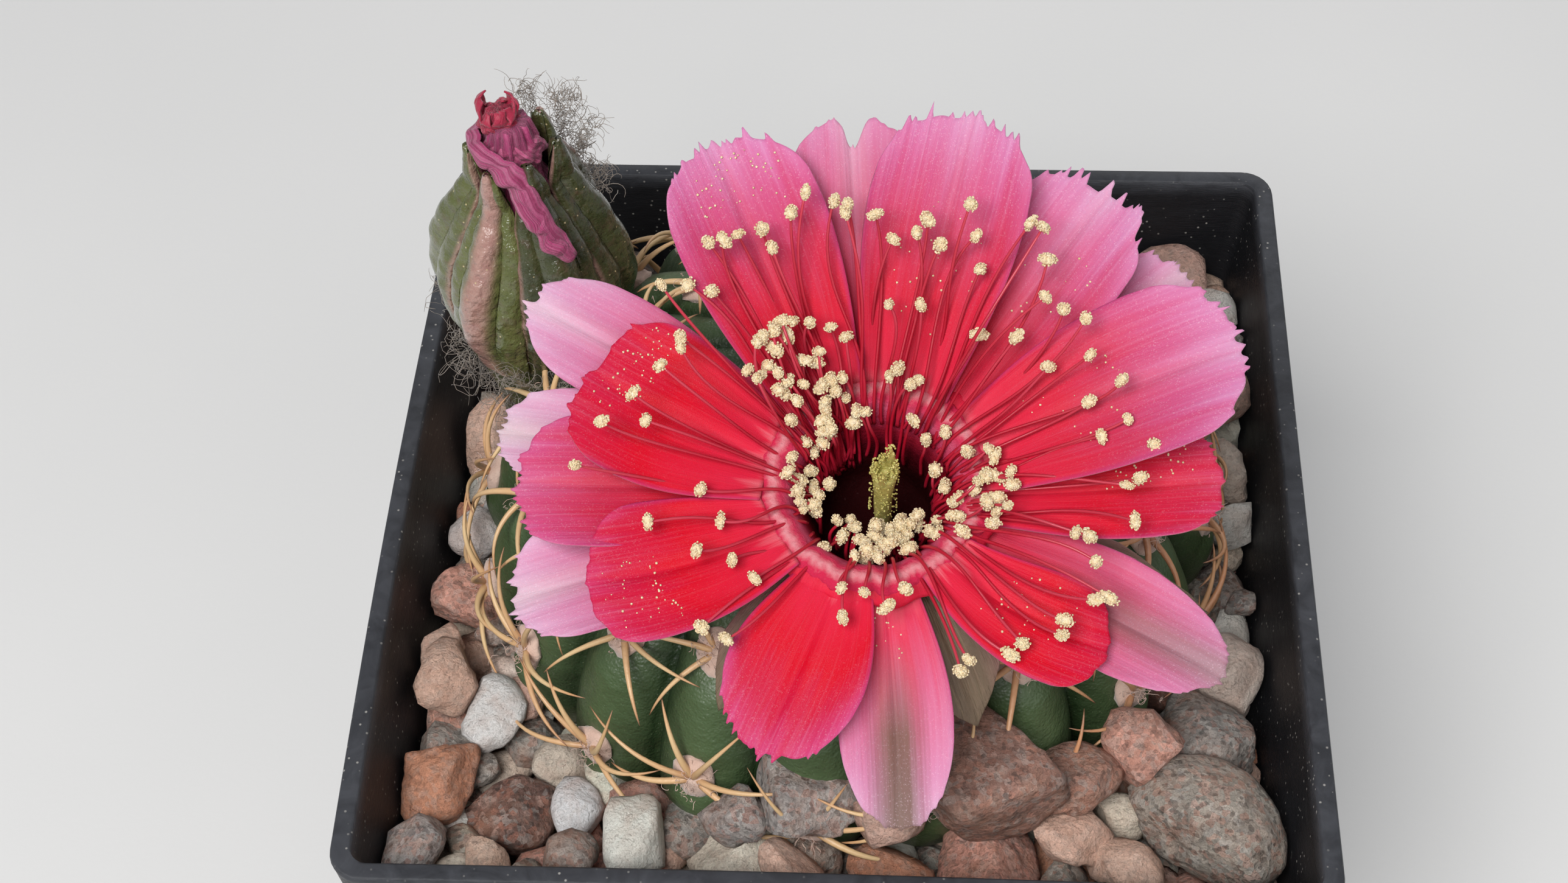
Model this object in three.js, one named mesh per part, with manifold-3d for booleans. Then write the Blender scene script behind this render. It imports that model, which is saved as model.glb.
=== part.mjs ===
// A round cactus in flower in its square nursery pot.
// Millimetres, +Z up. The origin is the centre of the pot's underside; the open flower leans towards -Y.
import * as THREE from 'three';
import { mergeVertices } from 'three/addons/utils/BufferGeometryUtils.js';
import Module from 'manifold-3d';

const wasm = await Module();
wasm.setup();

// ---------- driving dimensions, mm and degrees ----------
const CLEARANCE = 0.3; // gap left between pieces that touch
const POT_SIDE = 70; // outside of the rim
const POT_HEIGHT = 65;
const POT_BASE_SIDE = 50;
const POT_CORNER = 2.5; // outer corner radius at the rim
const RIM_WALL = 1.5;
const WALL = 1.0;
const BASE_THICKNESS = 1.6;
const BAND_HEIGHT = 8; // the thicker band below the rim
const DRAIN_RADIUS = 3;
const GRAVEL_BELOW_RIM = 8;
const GRAVEL_DEPTH = 7;
const PEBBLE_STEP = 10; // spacing of the pebbles that make up the gravel's surface

const BODY_RADIUS = 28.5; // over the rib crests
const BODY_RISE = 21; // equator to crown
const BODY_DROP = 14; // equator to the root collar
const BODY_SINK = 7; // equator below the pot's rim
const BODY_CENTRE = new THREE.Vector3(-0.3, 1.5, POT_HEIGHT - BODY_SINK);
const ROOT_LENGTH = 9;
const ROOT_RADIUS = 5;
const RIB_COUNT = 20;
const FURROW_DEPTH = 0.11; // share of the radius
const FIRST_RIB = -147; // azimuth of rib number 0
const AREOLE_RADIUS = 1.5;
const SPINE_RADIUS = 0.26;
const SPINE_LENGTH = 6.8;

const FLOWER_AZIMUTH = -78.6; // where it grows from the body
const FLOWER_ELEVATION = 59.9; // 0 at the body's equator, 90 at its crown
const FLOWER_STALK = 8.9; // body's skin to the throat's rim, along the flower's axis
const FLOWER_LEAN = 14; // from upright, towards -Y
const THROAT_RADIUS = 7; // outside of the pale ring
const THROAT_DEPTH = 8;
const TUBE_RADIUS = 5; // outside of the flower's tube where it leaves the body
const TUBE_WALL = 1.2;
const TEPAL_THICKNESS = 0.45;
const TEPAL_BASE_SHARE = 0.42; // width at the claw, as a share of the greatest width
const FILAMENT_RADIUS = 0.2;
const ANTHER_RADIUS = 0.62;
const OUTER_STAMENS = 20;
const INNER_STAMENS = 14;

const SPENT_AZIMUTH = 157.4;
const SPENT_ELEVATION = 23.2;
const SPENT_STALK = 3; // body's skin to where the closed flower's sepals begin
const SPENT_RADIUS = 8;
const SPENT_HEIGHT = 21.5; // length of its sepals
const SPENT_SEPALS = 6;
const SPENT_ROWS = 6; // rows of facets along each sepal and the petals inside them

// Tepals: azimuth, length, width, slope at the claw and at the tip, sideways bend, cup, outline,
// and drop of the claw below the ring. Whorl by whorl, from the inside out.
const TEPALS = [
  [121, 18.6, 10.4, 45, 25, -4, 0.24, 'round', 0],
  [74, 18.8, 10.6, 45, 25, 2, 0.24, 'round', 0],
  [17, 18.8, 11.5, 33, 14, -2, 0.2, 'round', 0],
  [-48, 12.3, 7.4, 8, -8, 36, 0.1, 'round', 0],
  [-149, 13.2, 9.8, 12, 1, -22, 0.1, 'round', 0],
  [168, 13.4, 11.5, 24, 8, -16, 0.15, 'round', 0],
  [96, 18.6, 8.6, 40, 26, -2, 0.28, 'round', -0.8],
  [50, 18.4, 10.4, 36, 16, 1, 0.2, 'round', -0.8],
  [-4, 16.0, 7.8, 20, 4, 8, 0.16, 'round', -0.8],
  [-109, 12.4, 9.4, 4, -16, -6, 0.1, 'strap', -0.8],
  [-177, 16.6, 9.8, 12, 0, -1, 0.2, 'round', -0.8],
  [154, 19.2, 8.0, 26, 10, 4, 0.24, 'round', -0.9],
  [34, 18.6, 7.4, 24, 8, 2, 0.2, 'round', -1.7],
  [-29, 19.0, 8.0, 4, -5, 2, 0.16, 'strap', -1.7],
  [-83, 15.8, 7.6, -4, -38, -4, 0.16, 'strap', -1.7],
  [-160, 18.0, 8.4, 4, -8, -4, 0.2, 'round', -1.7],
  [172, 18.6, 7.4, 10, -4, 0, 0.2, 'round', -1.7],
];
const SEPALS = [
  [-14, 17.0, 3.8, -8, -22, -2, 0.3, 'point', -3.0],
  [-128, 11.5, 4.6, -14, -50, 0, 0.3, 'point', -3.0],
  [-62, 10.5, 5.6, -16, -55, -2, 0.3, 'point', -3.0],
];
// Large loose pebbles: x and y as shares of the way from the pot's middle to its wall,
// half-lengths along x, y and z, and turn about Z
const PEBBLES = [
  [-0.76, -0.74, 3.2, 3.6, 3.4, 20],
  [-0.45, -0.87, 2.9, 2.5, 2.6, 10],
  [-0.22, -0.88, 3.4, 2.6, 2.8, -25],
  [0.34, -0.87, 4.6, 3.2, 3.8, 8],
  [0.81, -0.76, 3.9, 4.2, 3.6, -15],
  [-0.89, -0.18, 2.4, 3.4, 2.6, 12],
  [0.8, 0.84, 4.0, 3.0, 2.8, 30],
];
const PEBBLE_HEIGHT = 2.0; // centres of the loose pebbles above the gravel's level

const GRAVEL_TOP = POT_HEIGHT - GRAVEL_BELOW_RIM;
const SOIL_TOP = GRAVEL_TOP - GRAVEL_DEPTH;

// ---------- materials ----------
const finish = (color, roughness) => new THREE.MeshStandardMaterial({ color, roughness });
const blackPlastic = finish(0x22242a, 0.4);
const soilBrown = finish(0x3a2a1e, 0.95);
const granite = finish(0xa98a7a, 0.75);
const cactusGreen = finish(0x2c4a2a, 0.55);
const spineTan = finish(0xc59a66, 0.6);
const petalRed = finish(0xcf2450, 0.6);
const petalPale = finish(0xd78fae, 0.6);
const sepalBrown = finish(0x6b5238, 0.65);
const tubeGreen = finish(0x55603a, 0.8);
const ringPink = finish(0xe2718b, 0.5);
const filamentRed = finish(0xb5122f, 0.5);
const stigmaGreen = finish(0xb9b45e, 0.6);

// ---------- helpers ----------
const rad = THREE.MathUtils.degToRad;

// The same seeded sequence every run
function seeded(seed) {
  let state = seed;
  return () => {
    state = (state + 0x6d2b79f5) | 0;
    let t = Math.imul(state ^ (state >>> 15), 1 | state);
    t = (t + Math.imul(t ^ (t >>> 7), 61 | t)) ^ t;
    return ((t ^ (t >>> 14)) >>> 0) / 4294967296;
  };
}

function solid(geometry) {
  const bare = geometry.clone();
  bare.deleteAttribute('normal');
  bare.deleteAttribute('uv');
  const merged = mergeVertices(bare, 1e-5);
  return new wasm.Manifold(new wasm.Mesh({
    numProp: 3,
    vertProperties: new Float32Array(merged.attributes.position.array),
    triVerts: new Uint32Array(merged.index.array),
  }));
}

function meshFrom(body, material, name) {
  const data = body.getMesh();
  const geometry = new THREE.BufferGeometry();
  geometry.setAttribute('position', new THREE.BufferAttribute(new Float32Array(data.vertProperties), 3));
  geometry.setIndex(new THREE.BufferAttribute(new Uint32Array(data.triVerts), 1));
  const flat = geometry.toNonIndexed();
  flat.computeVertexNormals();
  const mesh = new THREE.Mesh(flat, material);
  mesh.name = name;
  return mesh;
}

const joined = (solids) => solids.reduce((sum, next) => sum.add(next));

// A cut can leave crumbs beyond another piece; the piece itself is the largest part
function largest(body) {
  return body.decompose().reduce((best, next) => (next.volume() > best.volume() ? next : best));
}

// Moves every vertex of a closed geometry: place(x, y, z) gives the new point
function reshape(geometry, place) {
  const at = geometry.attributes.position;
  for (let i = 0; i < at.count; i += 1) {
    const moved = place(at.getX(i), at.getY(i), at.getZ(i));
    at.setXYZ(i, moved.x, moved.y, moved.z);
  }
  return geometry;
}

// ---------- pot ----------
function roundedSquare(side, corner) {
  const h = side / 2;
  const shape = new THREE.Shape();
  shape.moveTo(-h + corner, -h);
  shape.lineTo(h - corner, -h);
  shape.absarc(h - corner, -h + corner, corner, -Math.PI / 2, 0);
  shape.lineTo(h, h - corner);
  shape.absarc(h - corner, h - corner, corner, 0, Math.PI / 2);
  shape.lineTo(-h + corner, h);
  shape.absarc(-h + corner, h - corner, corner, Math.PI / 2, Math.PI);
  shape.lineTo(-h, -h + corner);
  shape.absarc(-h + corner, -h + corner, corner, Math.PI, 1.5 * Math.PI);
  return shape;
}

// A square prism with rounded corners whose side changes from side0 at z0 to side1 at z1
function taperedPrism(side0, z0, side1, z1, corner) {
  const extrusion = { depth: z1 - z0, bevelEnabled: false, curveSegments: 3 };
  const geometry = new THREE.ExtrudeGeometry(roundedSquare(side1, corner), extrusion);
  return reshape(geometry, (x, y, z) => {
    const k = z > 0 ? 1 : side0 / side1;
    return new THREE.Vector3(x * k, y * k, z + z0);
  });
}

const CAVITY_TOP_SIDE = POT_SIDE - 2 * RIM_WALL;
const CAVITY_BASE_SIDE = POT_BASE_SIDE - 2 * WALL;
const bandFoot = POT_HEIGHT - BAND_HEIGHT;

// Side of the pot's hollow at a height
function cavitySide(z) {
  const share = (z - BASE_THICKNESS) / (POT_HEIGHT - BASE_THICKNESS);
  return THREE.MathUtils.lerp(CAVITY_BASE_SIDE, CAVITY_TOP_SIDE, share);
}

// What fills the hollow between two heights, clear of the walls
function filling(z0, z1) {
  const lowSide = cavitySide(z0) - 2 * CLEARANCE;
  const highSide = cavitySide(z1) - 2 * CLEARANCE;
  return solid(taperedPrism(lowSide, z0, highSide, z1, POT_CORNER - RIM_WALL / 2));
}

function makePot() {
  const lowerTop = cavitySide(bandFoot) + 2 * WALL;
  const outside = solid(taperedPrism(POT_BASE_SIDE, 0, lowerTop, bandFoot + 1, POT_CORNER));
  const band = solid(taperedPrism(POT_SIDE - 1, bandFoot, POT_SIDE, POT_HEIGHT, POT_CORNER));
  const hollowTop = POT_HEIGHT + 1;
  const mouthSide = cavitySide(hollowTop);
  const hollow = taperedPrism(CAVITY_BASE_SIDE, BASE_THICKNESS, mouthSide, hollowTop, POT_CORNER - 1);
  let pot = outside.add(band).subtract(solid(hollow));
  const drainPlace = POT_BASE_SIDE * 0.28;
  for (const [sx, sy] of [[-1, -1], [1, -1], [1, 1], [-1, 1]]) {
    const drain = new THREE.CylinderGeometry(DRAIN_RADIUS, DRAIN_RADIUS, 3 * BASE_THICKNESS, 12);
    drain.rotateX(Math.PI / 2).translate(sx * drainPlace, sy * drainPlace, 0);
    pot = pot.subtract(solid(drain));
  }
  return pot;
}

// ---------- cactus body ----------
// The body in its own place; grow makes it larger all over, for cutting what touches it
function bodyGeometry(grow = 0, stepsPerRib = 4) {
  const profile = [];
  profile.push(new THREE.Vector2(0, -BODY_DROP - ROOT_LENGTH - grow));
  profile.push(new THREE.Vector2(ROOT_RADIUS * 0.7 + grow, -BODY_DROP - ROOT_LENGTH * 0.8 - grow));
  profile.push(new THREE.Vector2(ROOT_RADIUS + grow, -BODY_DROP - grow));
  for (const t of [-66, -42, -20, 0, 16, 31, 45, 58, 70, 81]) {
    const height = (t < 0 ? BODY_DROP : BODY_RISE) + grow;
    profile.push(new THREE.Vector2((BODY_RADIUS + grow) * Math.cos(rad(t)), height * Math.sin(rad(t))));
  }
  profile.push(new THREE.Vector2(0, BODY_RISE + grow));
  const lathe = new THREE.LatheGeometry(profile, RIB_COUNT * stepsPerRib);
  lathe.rotateX(Math.PI / 2);
  return reshape(lathe, (x, y, z) => {
    const azimuth = Math.atan2(y, x);
    const crest = Math.abs(Math.cos((RIB_COUNT / 2) * (azimuth - rad(FIRST_RIB))));
    const isRibbed = z > -BODY_DROP * 0.95 ? 1 : 0;
    const fade = THREE.MathUtils.smoothstep(Math.hypot(x, y), 0, BODY_RADIUS * 0.5);
    const furrow = stepsPerRib > 2 ? 1 - Math.sqrt(crest) : 0;
    const k = 1 - isRibbed * fade * FURROW_DEPTH * furrow;
    return new THREE.Vector3(x * k, y * k, z).add(BODY_CENTRE);
  });
}

const ribAzimuth = (rib) => rad(FIRST_RIB + rib * (360 / RIB_COUNT));

// A point on the body at rib-crest height, t up from the equator, and the way out of the body there
function skinPoint(azimuth, t) {
  const around = new THREE.Vector3(Math.cos(azimuth), Math.sin(azimuth), 0);
  const point = around.clone().multiplyScalar(BODY_RADIUS * Math.cos(t)).add(BODY_CENTRE);
  point.z += BODY_RISE * Math.sin(t);
  const out = around.clone().multiplyScalar(BODY_RISE * Math.cos(t));
  out.z = BODY_RADIUS * Math.sin(t);
  return { point, out: out.normalize(), around };
}

// A closed cone bent along a quadratic curve from start to end
function bentCone(start, middle, end, baseRadius, tipRadius, sides, steps) {
  const curve = new THREE.QuadraticBezierCurve3(start, middle, end);
  const upright = new THREE.Vector3(0, 0, 1);
  const turn = new THREE.Quaternion();
  const cone = new THREE.CylinderGeometry(tipRadius, baseRadius, 1, sides, steps);
  return reshape(cone.rotateX(Math.PI / 2), (x, y, z) => {
    const s = z + 0.5;
    turn.setFromUnitVectors(upright, curve.getTangent(s));
    return new THREE.Vector3(x, y, 0).applyQuaternion(turn).add(curve.getPoint(s));
  });
}

// A woolly pad with its spines, as one piece; the fan opens sideways and up the rib
function makeSpineCluster(rib, t, random) {
  const { point, out, around } = skinPoint(ribAzimuth(rib), t);
  const side = new THREE.Vector3(-around.y, around.x, 0);
  const uphill = new THREE.Vector3().crossVectors(out, side).normalize();
  if (uphill.z < 0) uphill.negate();
  const padHalf = 0.75;
  const root = point.clone().addScaledVector(out, padHalf + CLEARANCE + 0.1);
  const pad = new THREE.SphereGeometry(1, 5, 3);
  pad.scale(AREOLE_RADIUS, padHalf, AREOLE_RADIUS);
  pad.applyQuaternion(new THREE.Quaternion().setFromUnitVectors(new THREE.Vector3(0, 1, 0), out));
  pad.translate(root.x, root.y, root.z);
  const pieces = [solid(pad)];
  for (const angle of [2, 34, 68, 112, 146, 178]) {
    const turned = rad(angle + 10 * (random() - 0.5));
    const along = side.clone().multiplyScalar(Math.cos(turned)).addScaledVector(uphill, Math.sin(turned));
    const length = SPINE_LENGTH * (0.8 + 0.3 * random());
    const middle = root.clone().addScaledVector(along, length * 0.5).addScaledVector(out, length * 0.34);
    const tip = root.clone().addScaledVector(along, length * 0.94).addScaledVector(out, length * 0.2);
    pieces.push(solid(bentCone(root, middle, tip, SPINE_RADIUS, SPINE_RADIUS / 2, 3, 2)));
  }
  return joined(pieces);
}

// ---------- flower: everything here is in the flower's frame, ring at z = 0, +Z along its axis ----------
// Half-width share along a tepal
function outline(s, kind) {
  const peak = { round: 0.7, point: 0.55, strap: 0.55 }[kind];
  if (s < peak) {
    return TEPAL_BASE_SHARE + (1 - TEPAL_BASE_SHARE) * Math.sin((s / peak) * (Math.PI / 2)) ** 1.1;
  }
  const b = (s - peak) / (1 - peak);
  const bluntness = { round: 2.6, point: 1.35, strap: 2.0 }[kind];
  return kind === 'point' ? 1 - b ** bluntness : Math.sqrt(1 - b ** bluntness);
}

// One tepal as a thin closed shell; grow makes a larger copy for cutting its neighbours
function tepalSolid([azimuth, length, width, slope0, slope1, bend, cup, kind, drop], grow = 0) {
  const acrossSteps = 4;
  const alongSteps = 7;
  const integrationSteps = 24;
  const sheet = new THREE.BoxGeometry(1, 1, 1, acrossSteps, alongSteps, 1);
  const start = new THREE.Vector3(Math.cos(rad(azimuth)), Math.sin(rad(azimuth)), 0);
  start.multiplyScalar(THROAT_RADIUS + 2 * CLEARANCE - grow);
  start.z = drop;
  const reach = length + 2 * grow;
  const heading = (s) => {
    const slope = rad(slope0 + (slope1 - slope0) * s);
    const turned = rad(azimuth + bend * s);
    const level = new THREE.Vector3(Math.cos(turned), Math.sin(turned), 0);
    return level.multiplyScalar(Math.cos(slope)).setZ(Math.sin(slope));
  };
  const bluntEnd = 0.985; // stops short of the point, where the outline closes to nothing
  return solid(reshape(sheet, (x, y, z) => {
    const s = (y + 0.5) * bluntEnd;
    const point = start.clone();
    for (let i = 0; i < integrationSteps; i += 1) {
      point.addScaledVector(heading((s * (i + 0.5)) / integrationSteps), (s * reach) / integrationSteps);
    }
    const turned = rad(azimuth + bend * s);
    const side = new THREE.Vector3(-Math.sin(turned), Math.cos(turned), 0);
    const lift = new THREE.Vector3().crossVectors(heading(s), side);
    const half = (width / 2) * outline(s, kind) + grow;
    point.addScaledVector(side, -2 * x * half);
    return point.addScaledVector(lift, cup * half * (2 * x) ** 2 + z * (TEPAL_THICKNESS + 2 * grow));
  }));
}

function lathe(points, segments) {
  const geometry = new THREE.LatheGeometry(points.map(([r, z]) => new THREE.Vector2(r, z)), segments);
  return geometry.rotateX(Math.PI / 2);
}

// A point at a radius and height, turned about the flower's axis
function polar([radius, height], angle) {
  return new THREE.Vector3(radius * Math.cos(angle), radius * Math.sin(angle), height);
}

// Filaments standing on a small ring, each with its anther
function makeStamens(ringRadius, ringHeight, count, random, reachOf) {
  const half = 0.28;
  const ring = [[-half, -half], [half, -half], [half, half], [-half, half], [-half, -half]];
  const pieces = [solid(lathe(ring.map(([r, z]) => [ringRadius + r, ringHeight + z]), 18))];
  for (let i = 0; i < count; i += 1) {
    const azimuth = ((i + 0.35 * random()) / count) * 2 * Math.PI;
    const { middle, end } = reachOf(azimuth, random);
    const tip = polar(end, azimuth + 0.12 * (random() - 0.5));
    const root = polar([ringRadius, ringHeight], azimuth);
    const bend = polar(middle, azimuth);
    pieces.push(solid(bentCone(root, bend, tip, FILAMENT_RADIUS, FILAMENT_RADIUS * 0.8, 3, 3)));
    const anther = new THREE.OctahedronGeometry(ANTHER_RADIUS, 0);
    pieces.push(solid(anther.translate(tip.x, tip.y, tip.z)));
  }
  return joined(pieces);
}

// Outer stamens clear the ring, then arch over the tepals; the ones at the back stand tallest
function outerReach(azimuth, random) {
  const back = 0.5 + 0.5 * Math.sin(azimuth);
  const past = 2.5 + 4.5 * random();
  const rise = 2.6 + past * (0.25 + 0.75 * back) + 1.5 * back;
  return { middle: [THROAT_RADIUS - 0.4, 3.2 + 4 * back], end: [THROAT_RADIUS + past, rise] };
}

function innerReach(azimuth, random) {
  const reach = TUBE_RADIUS - TUBE_WALL;
  return { middle: [reach + 0.4, -2.5], end: [reach - 1.2 + 1.6 * random(), -1.2 + 2.4 * random()] };
}

function makePistil() {
  const foot = new THREE.Vector3(0, 0, -THROAT_DEPTH + 0.5);
  const top = new THREE.Vector3(0.4, 0.3, 0.2);
  const pieces = [solid(bentCone(foot, new THREE.Vector3(-0.2, 0, -4), top, 0.95, 0.8, 6, 3))];
  const lobes = 5;
  for (let i = 0; i < lobes; i += 1) {
    const angle = (i / lobes) * 2 * Math.PI;
    const out = new THREE.Vector3(Math.cos(angle), Math.sin(angle), 0);
    const start = top.clone().addScaledVector(out, 0.3).add(new THREE.Vector3(0, 0, -0.5));
    const middle = top.clone().addScaledVector(out, 0.9).add(new THREE.Vector3(0, 0, 1.2));
    const end = top.clone().addScaledVector(out, 0.8).add(new THREE.Vector3(0, 0, 2.4));
    pieces.push(solid(bentCone(start, middle, end, 0.42, 0.22, 3, 1)));
  }
  return joined(pieces);
}

// A thick-walled tube that widens into the cup under the ring
function makeFlowerTube() {
  const inner = THROAT_RADIUS - 1.0;
  const cup = inner + 2.2;
  const bore = TUBE_RADIUS - TUBE_WALL;
  const rim = -0.9 - CLEARANCE;
  const stalk = [[0, -16], [TUBE_RADIUS, -16], [TUBE_RADIUS, -8]];
  const outside = [...stalk, [cup, -3.8], [cup, -2.9], [THROAT_RADIUS, rim]];
  const inside = [[inner, rim], [inner - 0.9, -3.2], [bore, -6], [bore, -THROAT_DEPTH], [0, -THROAT_DEPTH]];
  return solid(lathe([...outside, ...inside], 18));
}

function makeThroatRing() {
  const inner = THROAT_RADIUS - 0.9;
  return solid(lathe([
    [inner, -0.9], [THROAT_RADIUS - 0.1, -0.9], [THROAT_RADIUS, -0.2], [THROAT_RADIUS - 0.35, 0.3],
    [inner + 0.05, 0.1], [inner - 0.1, -0.5], [inner, -0.9],
  ], 24));
}

// ---------- spent flower: in its own frame, sepals begin at z = 0 ----------
// Distance from its axis of a sepal's inside, along its length
function spentRadius(s) {
  const belly = Math.sin(Math.PI * Math.min(1, 0.2 + 0.95 * s) ** 1.15);
  return 2.6 + (SPENT_RADIUS - 4.4) * Math.max(0, belly);
}

function makeSpentSepal(index) {
  const thickness = 1.3;
  const shareOfTurn = 0.86;
  const sheet = new THREE.BoxGeometry(1, 1, 1, 3, SPENT_ROWS, 1);
  const middle = (index / SPENT_SEPALS) * 2 * Math.PI;
  const halfTurn = (Math.PI / SPENT_SEPALS) * shareOfTurn;
  return solid(reshape(sheet, (x, y, z) => {
    const s = y + 0.5;
    const spread = halfTurn * (s < 0.7 ? 1 : 1 - 0.8 * ((s - 0.7) / 0.3) ** 1.4);
    const ridge = 0.5 * (1 - (2 * x) ** 2);
    const r = spentRadius(s) + (z + 0.5) * thickness + ridge;
    const angle = middle + 2 * x * spread;
    return new THREE.Vector3(r * Math.cos(angle), r * Math.sin(angle), s * SPENT_HEIGHT);
  }));
}

function makeSpentPetals(random) {
  const core = [[0, 0.8]];
  for (let i = 1; i <= SPENT_ROWS; i += 1) {
    const s = i / SPENT_ROWS;
    core.push([spentRadius(s) - 2 * CLEARANCE, s * SPENT_HEIGHT]);
  }
  core.push([0, SPENT_HEIGHT + 1.3]);
  const pieces = [solid(lathe(core, 12))];
  for (let i = 0; i < 4; i += 1) {
    const lump = new THREE.IcosahedronGeometry(1, 1);
    lump.scale(2.2 - 0.25 * i, 1.6 + 0.5 * random(), 1.8);
    const turn = i * 1.9;
    const top = SPENT_HEIGHT + 1.2 + i * 0.9;
    pieces.push(solid(lump.translate(0.9 * Math.cos(turn), 0.9 * Math.sin(turn), top)));
  }
  return joined(pieces);
}

// ---------- gravel ----------
// One pebble: a rounded lump, flattened here and there; grow makes a larger copy for cutting
function pebbleGeometry(lump, place, halves, turn, random, grow = 0) {
  const phase = random() * 6;
  reshape(lump, (px, py, pz) => {
    const wave = 0.09 * Math.sin(3.1 * px + phase) + 0.07 * Math.sin(4.3 * py - phase);
    const k = 1 + wave - 0.06 * Math.cos(3.7 * pz);
    return new THREE.Vector3(px * k, py * k, pz * k);
  });
  lump.scale(halves[0] + grow, halves[1] + grow, halves[2] + grow);
  return lump.rotateZ(rad(turn)).translate(...place);
}

function loosePebble([x, y, a, b, c, turn], index, grow = 0) {
  const lump = new THREE.IcosahedronGeometry(1, 1);
  const toWall = cavitySide(GRAVEL_TOP) / 2;
  const place = [x * toWall, y * toWall, GRAVEL_TOP + PEBBLE_HEIGHT];
  return solid(pebbleGeometry(lump, place, [a, b, c], turn, seeded(index + 40), grow));
}

function makeGravelBed(bodyCutter, others) {
  const random = seeded(7);
  const lumps = [filling(SOIL_TOP + CLEARANCE, GRAVEL_TOP - 2)];
  const reach = cavitySide(GRAVEL_TOP) / 2 - PEBBLE_STEP / 2;
  const count = Math.round((2 * reach) / PEBBLE_STEP);
  for (let i = 0; i <= count; i += 1) {
    for (let j = 0; j <= count; j += 1) {
      const x = -reach + (2 * reach * i) / count + 1.6 * (random() - 0.5);
      const y = -reach + (2 * reach * j) / count + 1.6 * (random() - 0.5);
      const halves = [0.62, 0.58, 0.46].map((share) => PEBBLE_STEP * share * (0.85 + 0.3 * random()));
      const turn = 180 * random();
      const height = GRAVEL_TOP - 2 + 1.4 * random();
      const fromBody = Math.hypot(x - BODY_CENTRE.x, y - BODY_CENTRE.y);
      if (fromBody < BODY_RADIUS - PEBBLE_STEP * 0.3) continue;
      const lump = new THREE.DodecahedronGeometry(1, 0);
      lumps.push(solid(pebbleGeometry(lump, [x, y, height], halves, turn, random)));
    }
  }
  const bed = joined(lumps).intersect(filling(SOIL_TOP + CLEARANCE, POT_HEIGHT - 1));
  return largest([bodyCutter, ...others].reduce((left, cutter) => left.subtract(cutter), bed));
}

// ---------- assembly ----------
const cactus = new THREE.Group();
const flower = new THREE.Group();
const flowerAxis = new THREE.Vector3(0, -Math.sin(rad(FLOWER_LEAN)), Math.cos(rad(FLOWER_LEAN)));
const flowerFoot = skinPoint(rad(FLOWER_AZIMUTH), rad(FLOWER_ELEVATION)).point;
flower.position.copy(flowerFoot).addScaledVector(flowerAxis, FLOWER_STALK);
flower.rotation.x = rad(FLOWER_LEAN);
cactus.add(flower);
const spent = new THREE.Group();
spent.position.copy(skinPoint(rad(SPENT_AZIMUTH), rad(SPENT_ELEVATION)).point);
spent.position.z += SPENT_STALK;
cactus.add(spent);
cactus.updateMatrixWorld(true);

const body = solid(bodyGeometry());
const bodyCutter = solid(bodyGeometry(CLEARANCE, 2));
const bodyCutterIn = (group) => {
  const intoGroup = group.matrixWorld.clone().invert();
  return solid(bodyGeometry(CLEARANCE).applyMatrix4(intoGroup));
};

cactus.add(meshFrom(makePot(), blackPlastic, 'pot'));
cactus.add(meshFrom(filling(BASE_THICKNESS + CLEARANCE, SOIL_TOP).subtract(bodyCutter), soilBrown, 'soil'));
cactus.add(meshFrom(body, cactusGreen, 'cactus_body'));

// Gravel, with room for the loose pebbles that lie in it and for the spent flower's tube
const spentTubeLathe = (grow) => lathe([
  [0, -12 - grow], [3.4 + grow, -12 - grow], [4.2 + grow, -4], [4.6 + grow, -CLEARANCE + grow],
  [0, -CLEARANCE + grow],
], 14);
const spentTubeCutter = solid(spentTubeLathe(CLEARANCE).applyMatrix4(spent.matrixWorld));
const pebbleCutters = PEBBLES.map((pebble, i) => loosePebble(pebble, i, CLEARANCE));
cactus.add(meshFrom(makeGravelBed(bodyCutter, [...pebbleCutters, spentTubeCutter]), granite, 'gravel_bed'));
const hollowOfPot = filling(SOIL_TOP, POT_HEIGHT);
PEBBLES.forEach((pebble, i) => {
  const stone = largest(loosePebble(pebble, i).intersect(hollowOfPot).subtract(bodyCutter));
  cactus.add(meshFrom(stone, granite, `pebble_${i + 1}`));
});

// Spines: lower areoles on the even ribs, upper ones on the odd ribs, none under the flowers
const LOWER_AREOLE = rad(12);
const UPPER_AREOLE = rad(33);
const spinesRandom = seeded(3);
const clearOf = (place, centre, distance) => Math.hypot(place.x - centre.x, place.y - centre.y) > distance;
let clusterCount = 0;
for (let rib = 0; rib < RIB_COUNT; rib += 1) {
  const isUpper = rib % 2 === 1;
  const t = isUpper ? UPPER_AREOLE : LOWER_AREOLE;
  const { point } = skinPoint(ribAzimuth(rib), t);
  const isClearOfFlower = !isUpper || clearOf(point, flower.position, 2 * THROAT_RADIUS);
  if (isClearOfFlower && clearOf(point, spent.position, SPENT_RADIUS + SPINE_LENGTH)) {
    clusterCount += 1;
    const name = `spine_cluster_${String(clusterCount).padStart(2, '0')}`;
    cactus.add(meshFrom(makeSpineCluster(rib, t, spinesRandom), spineTan, name));
  }
}

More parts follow.
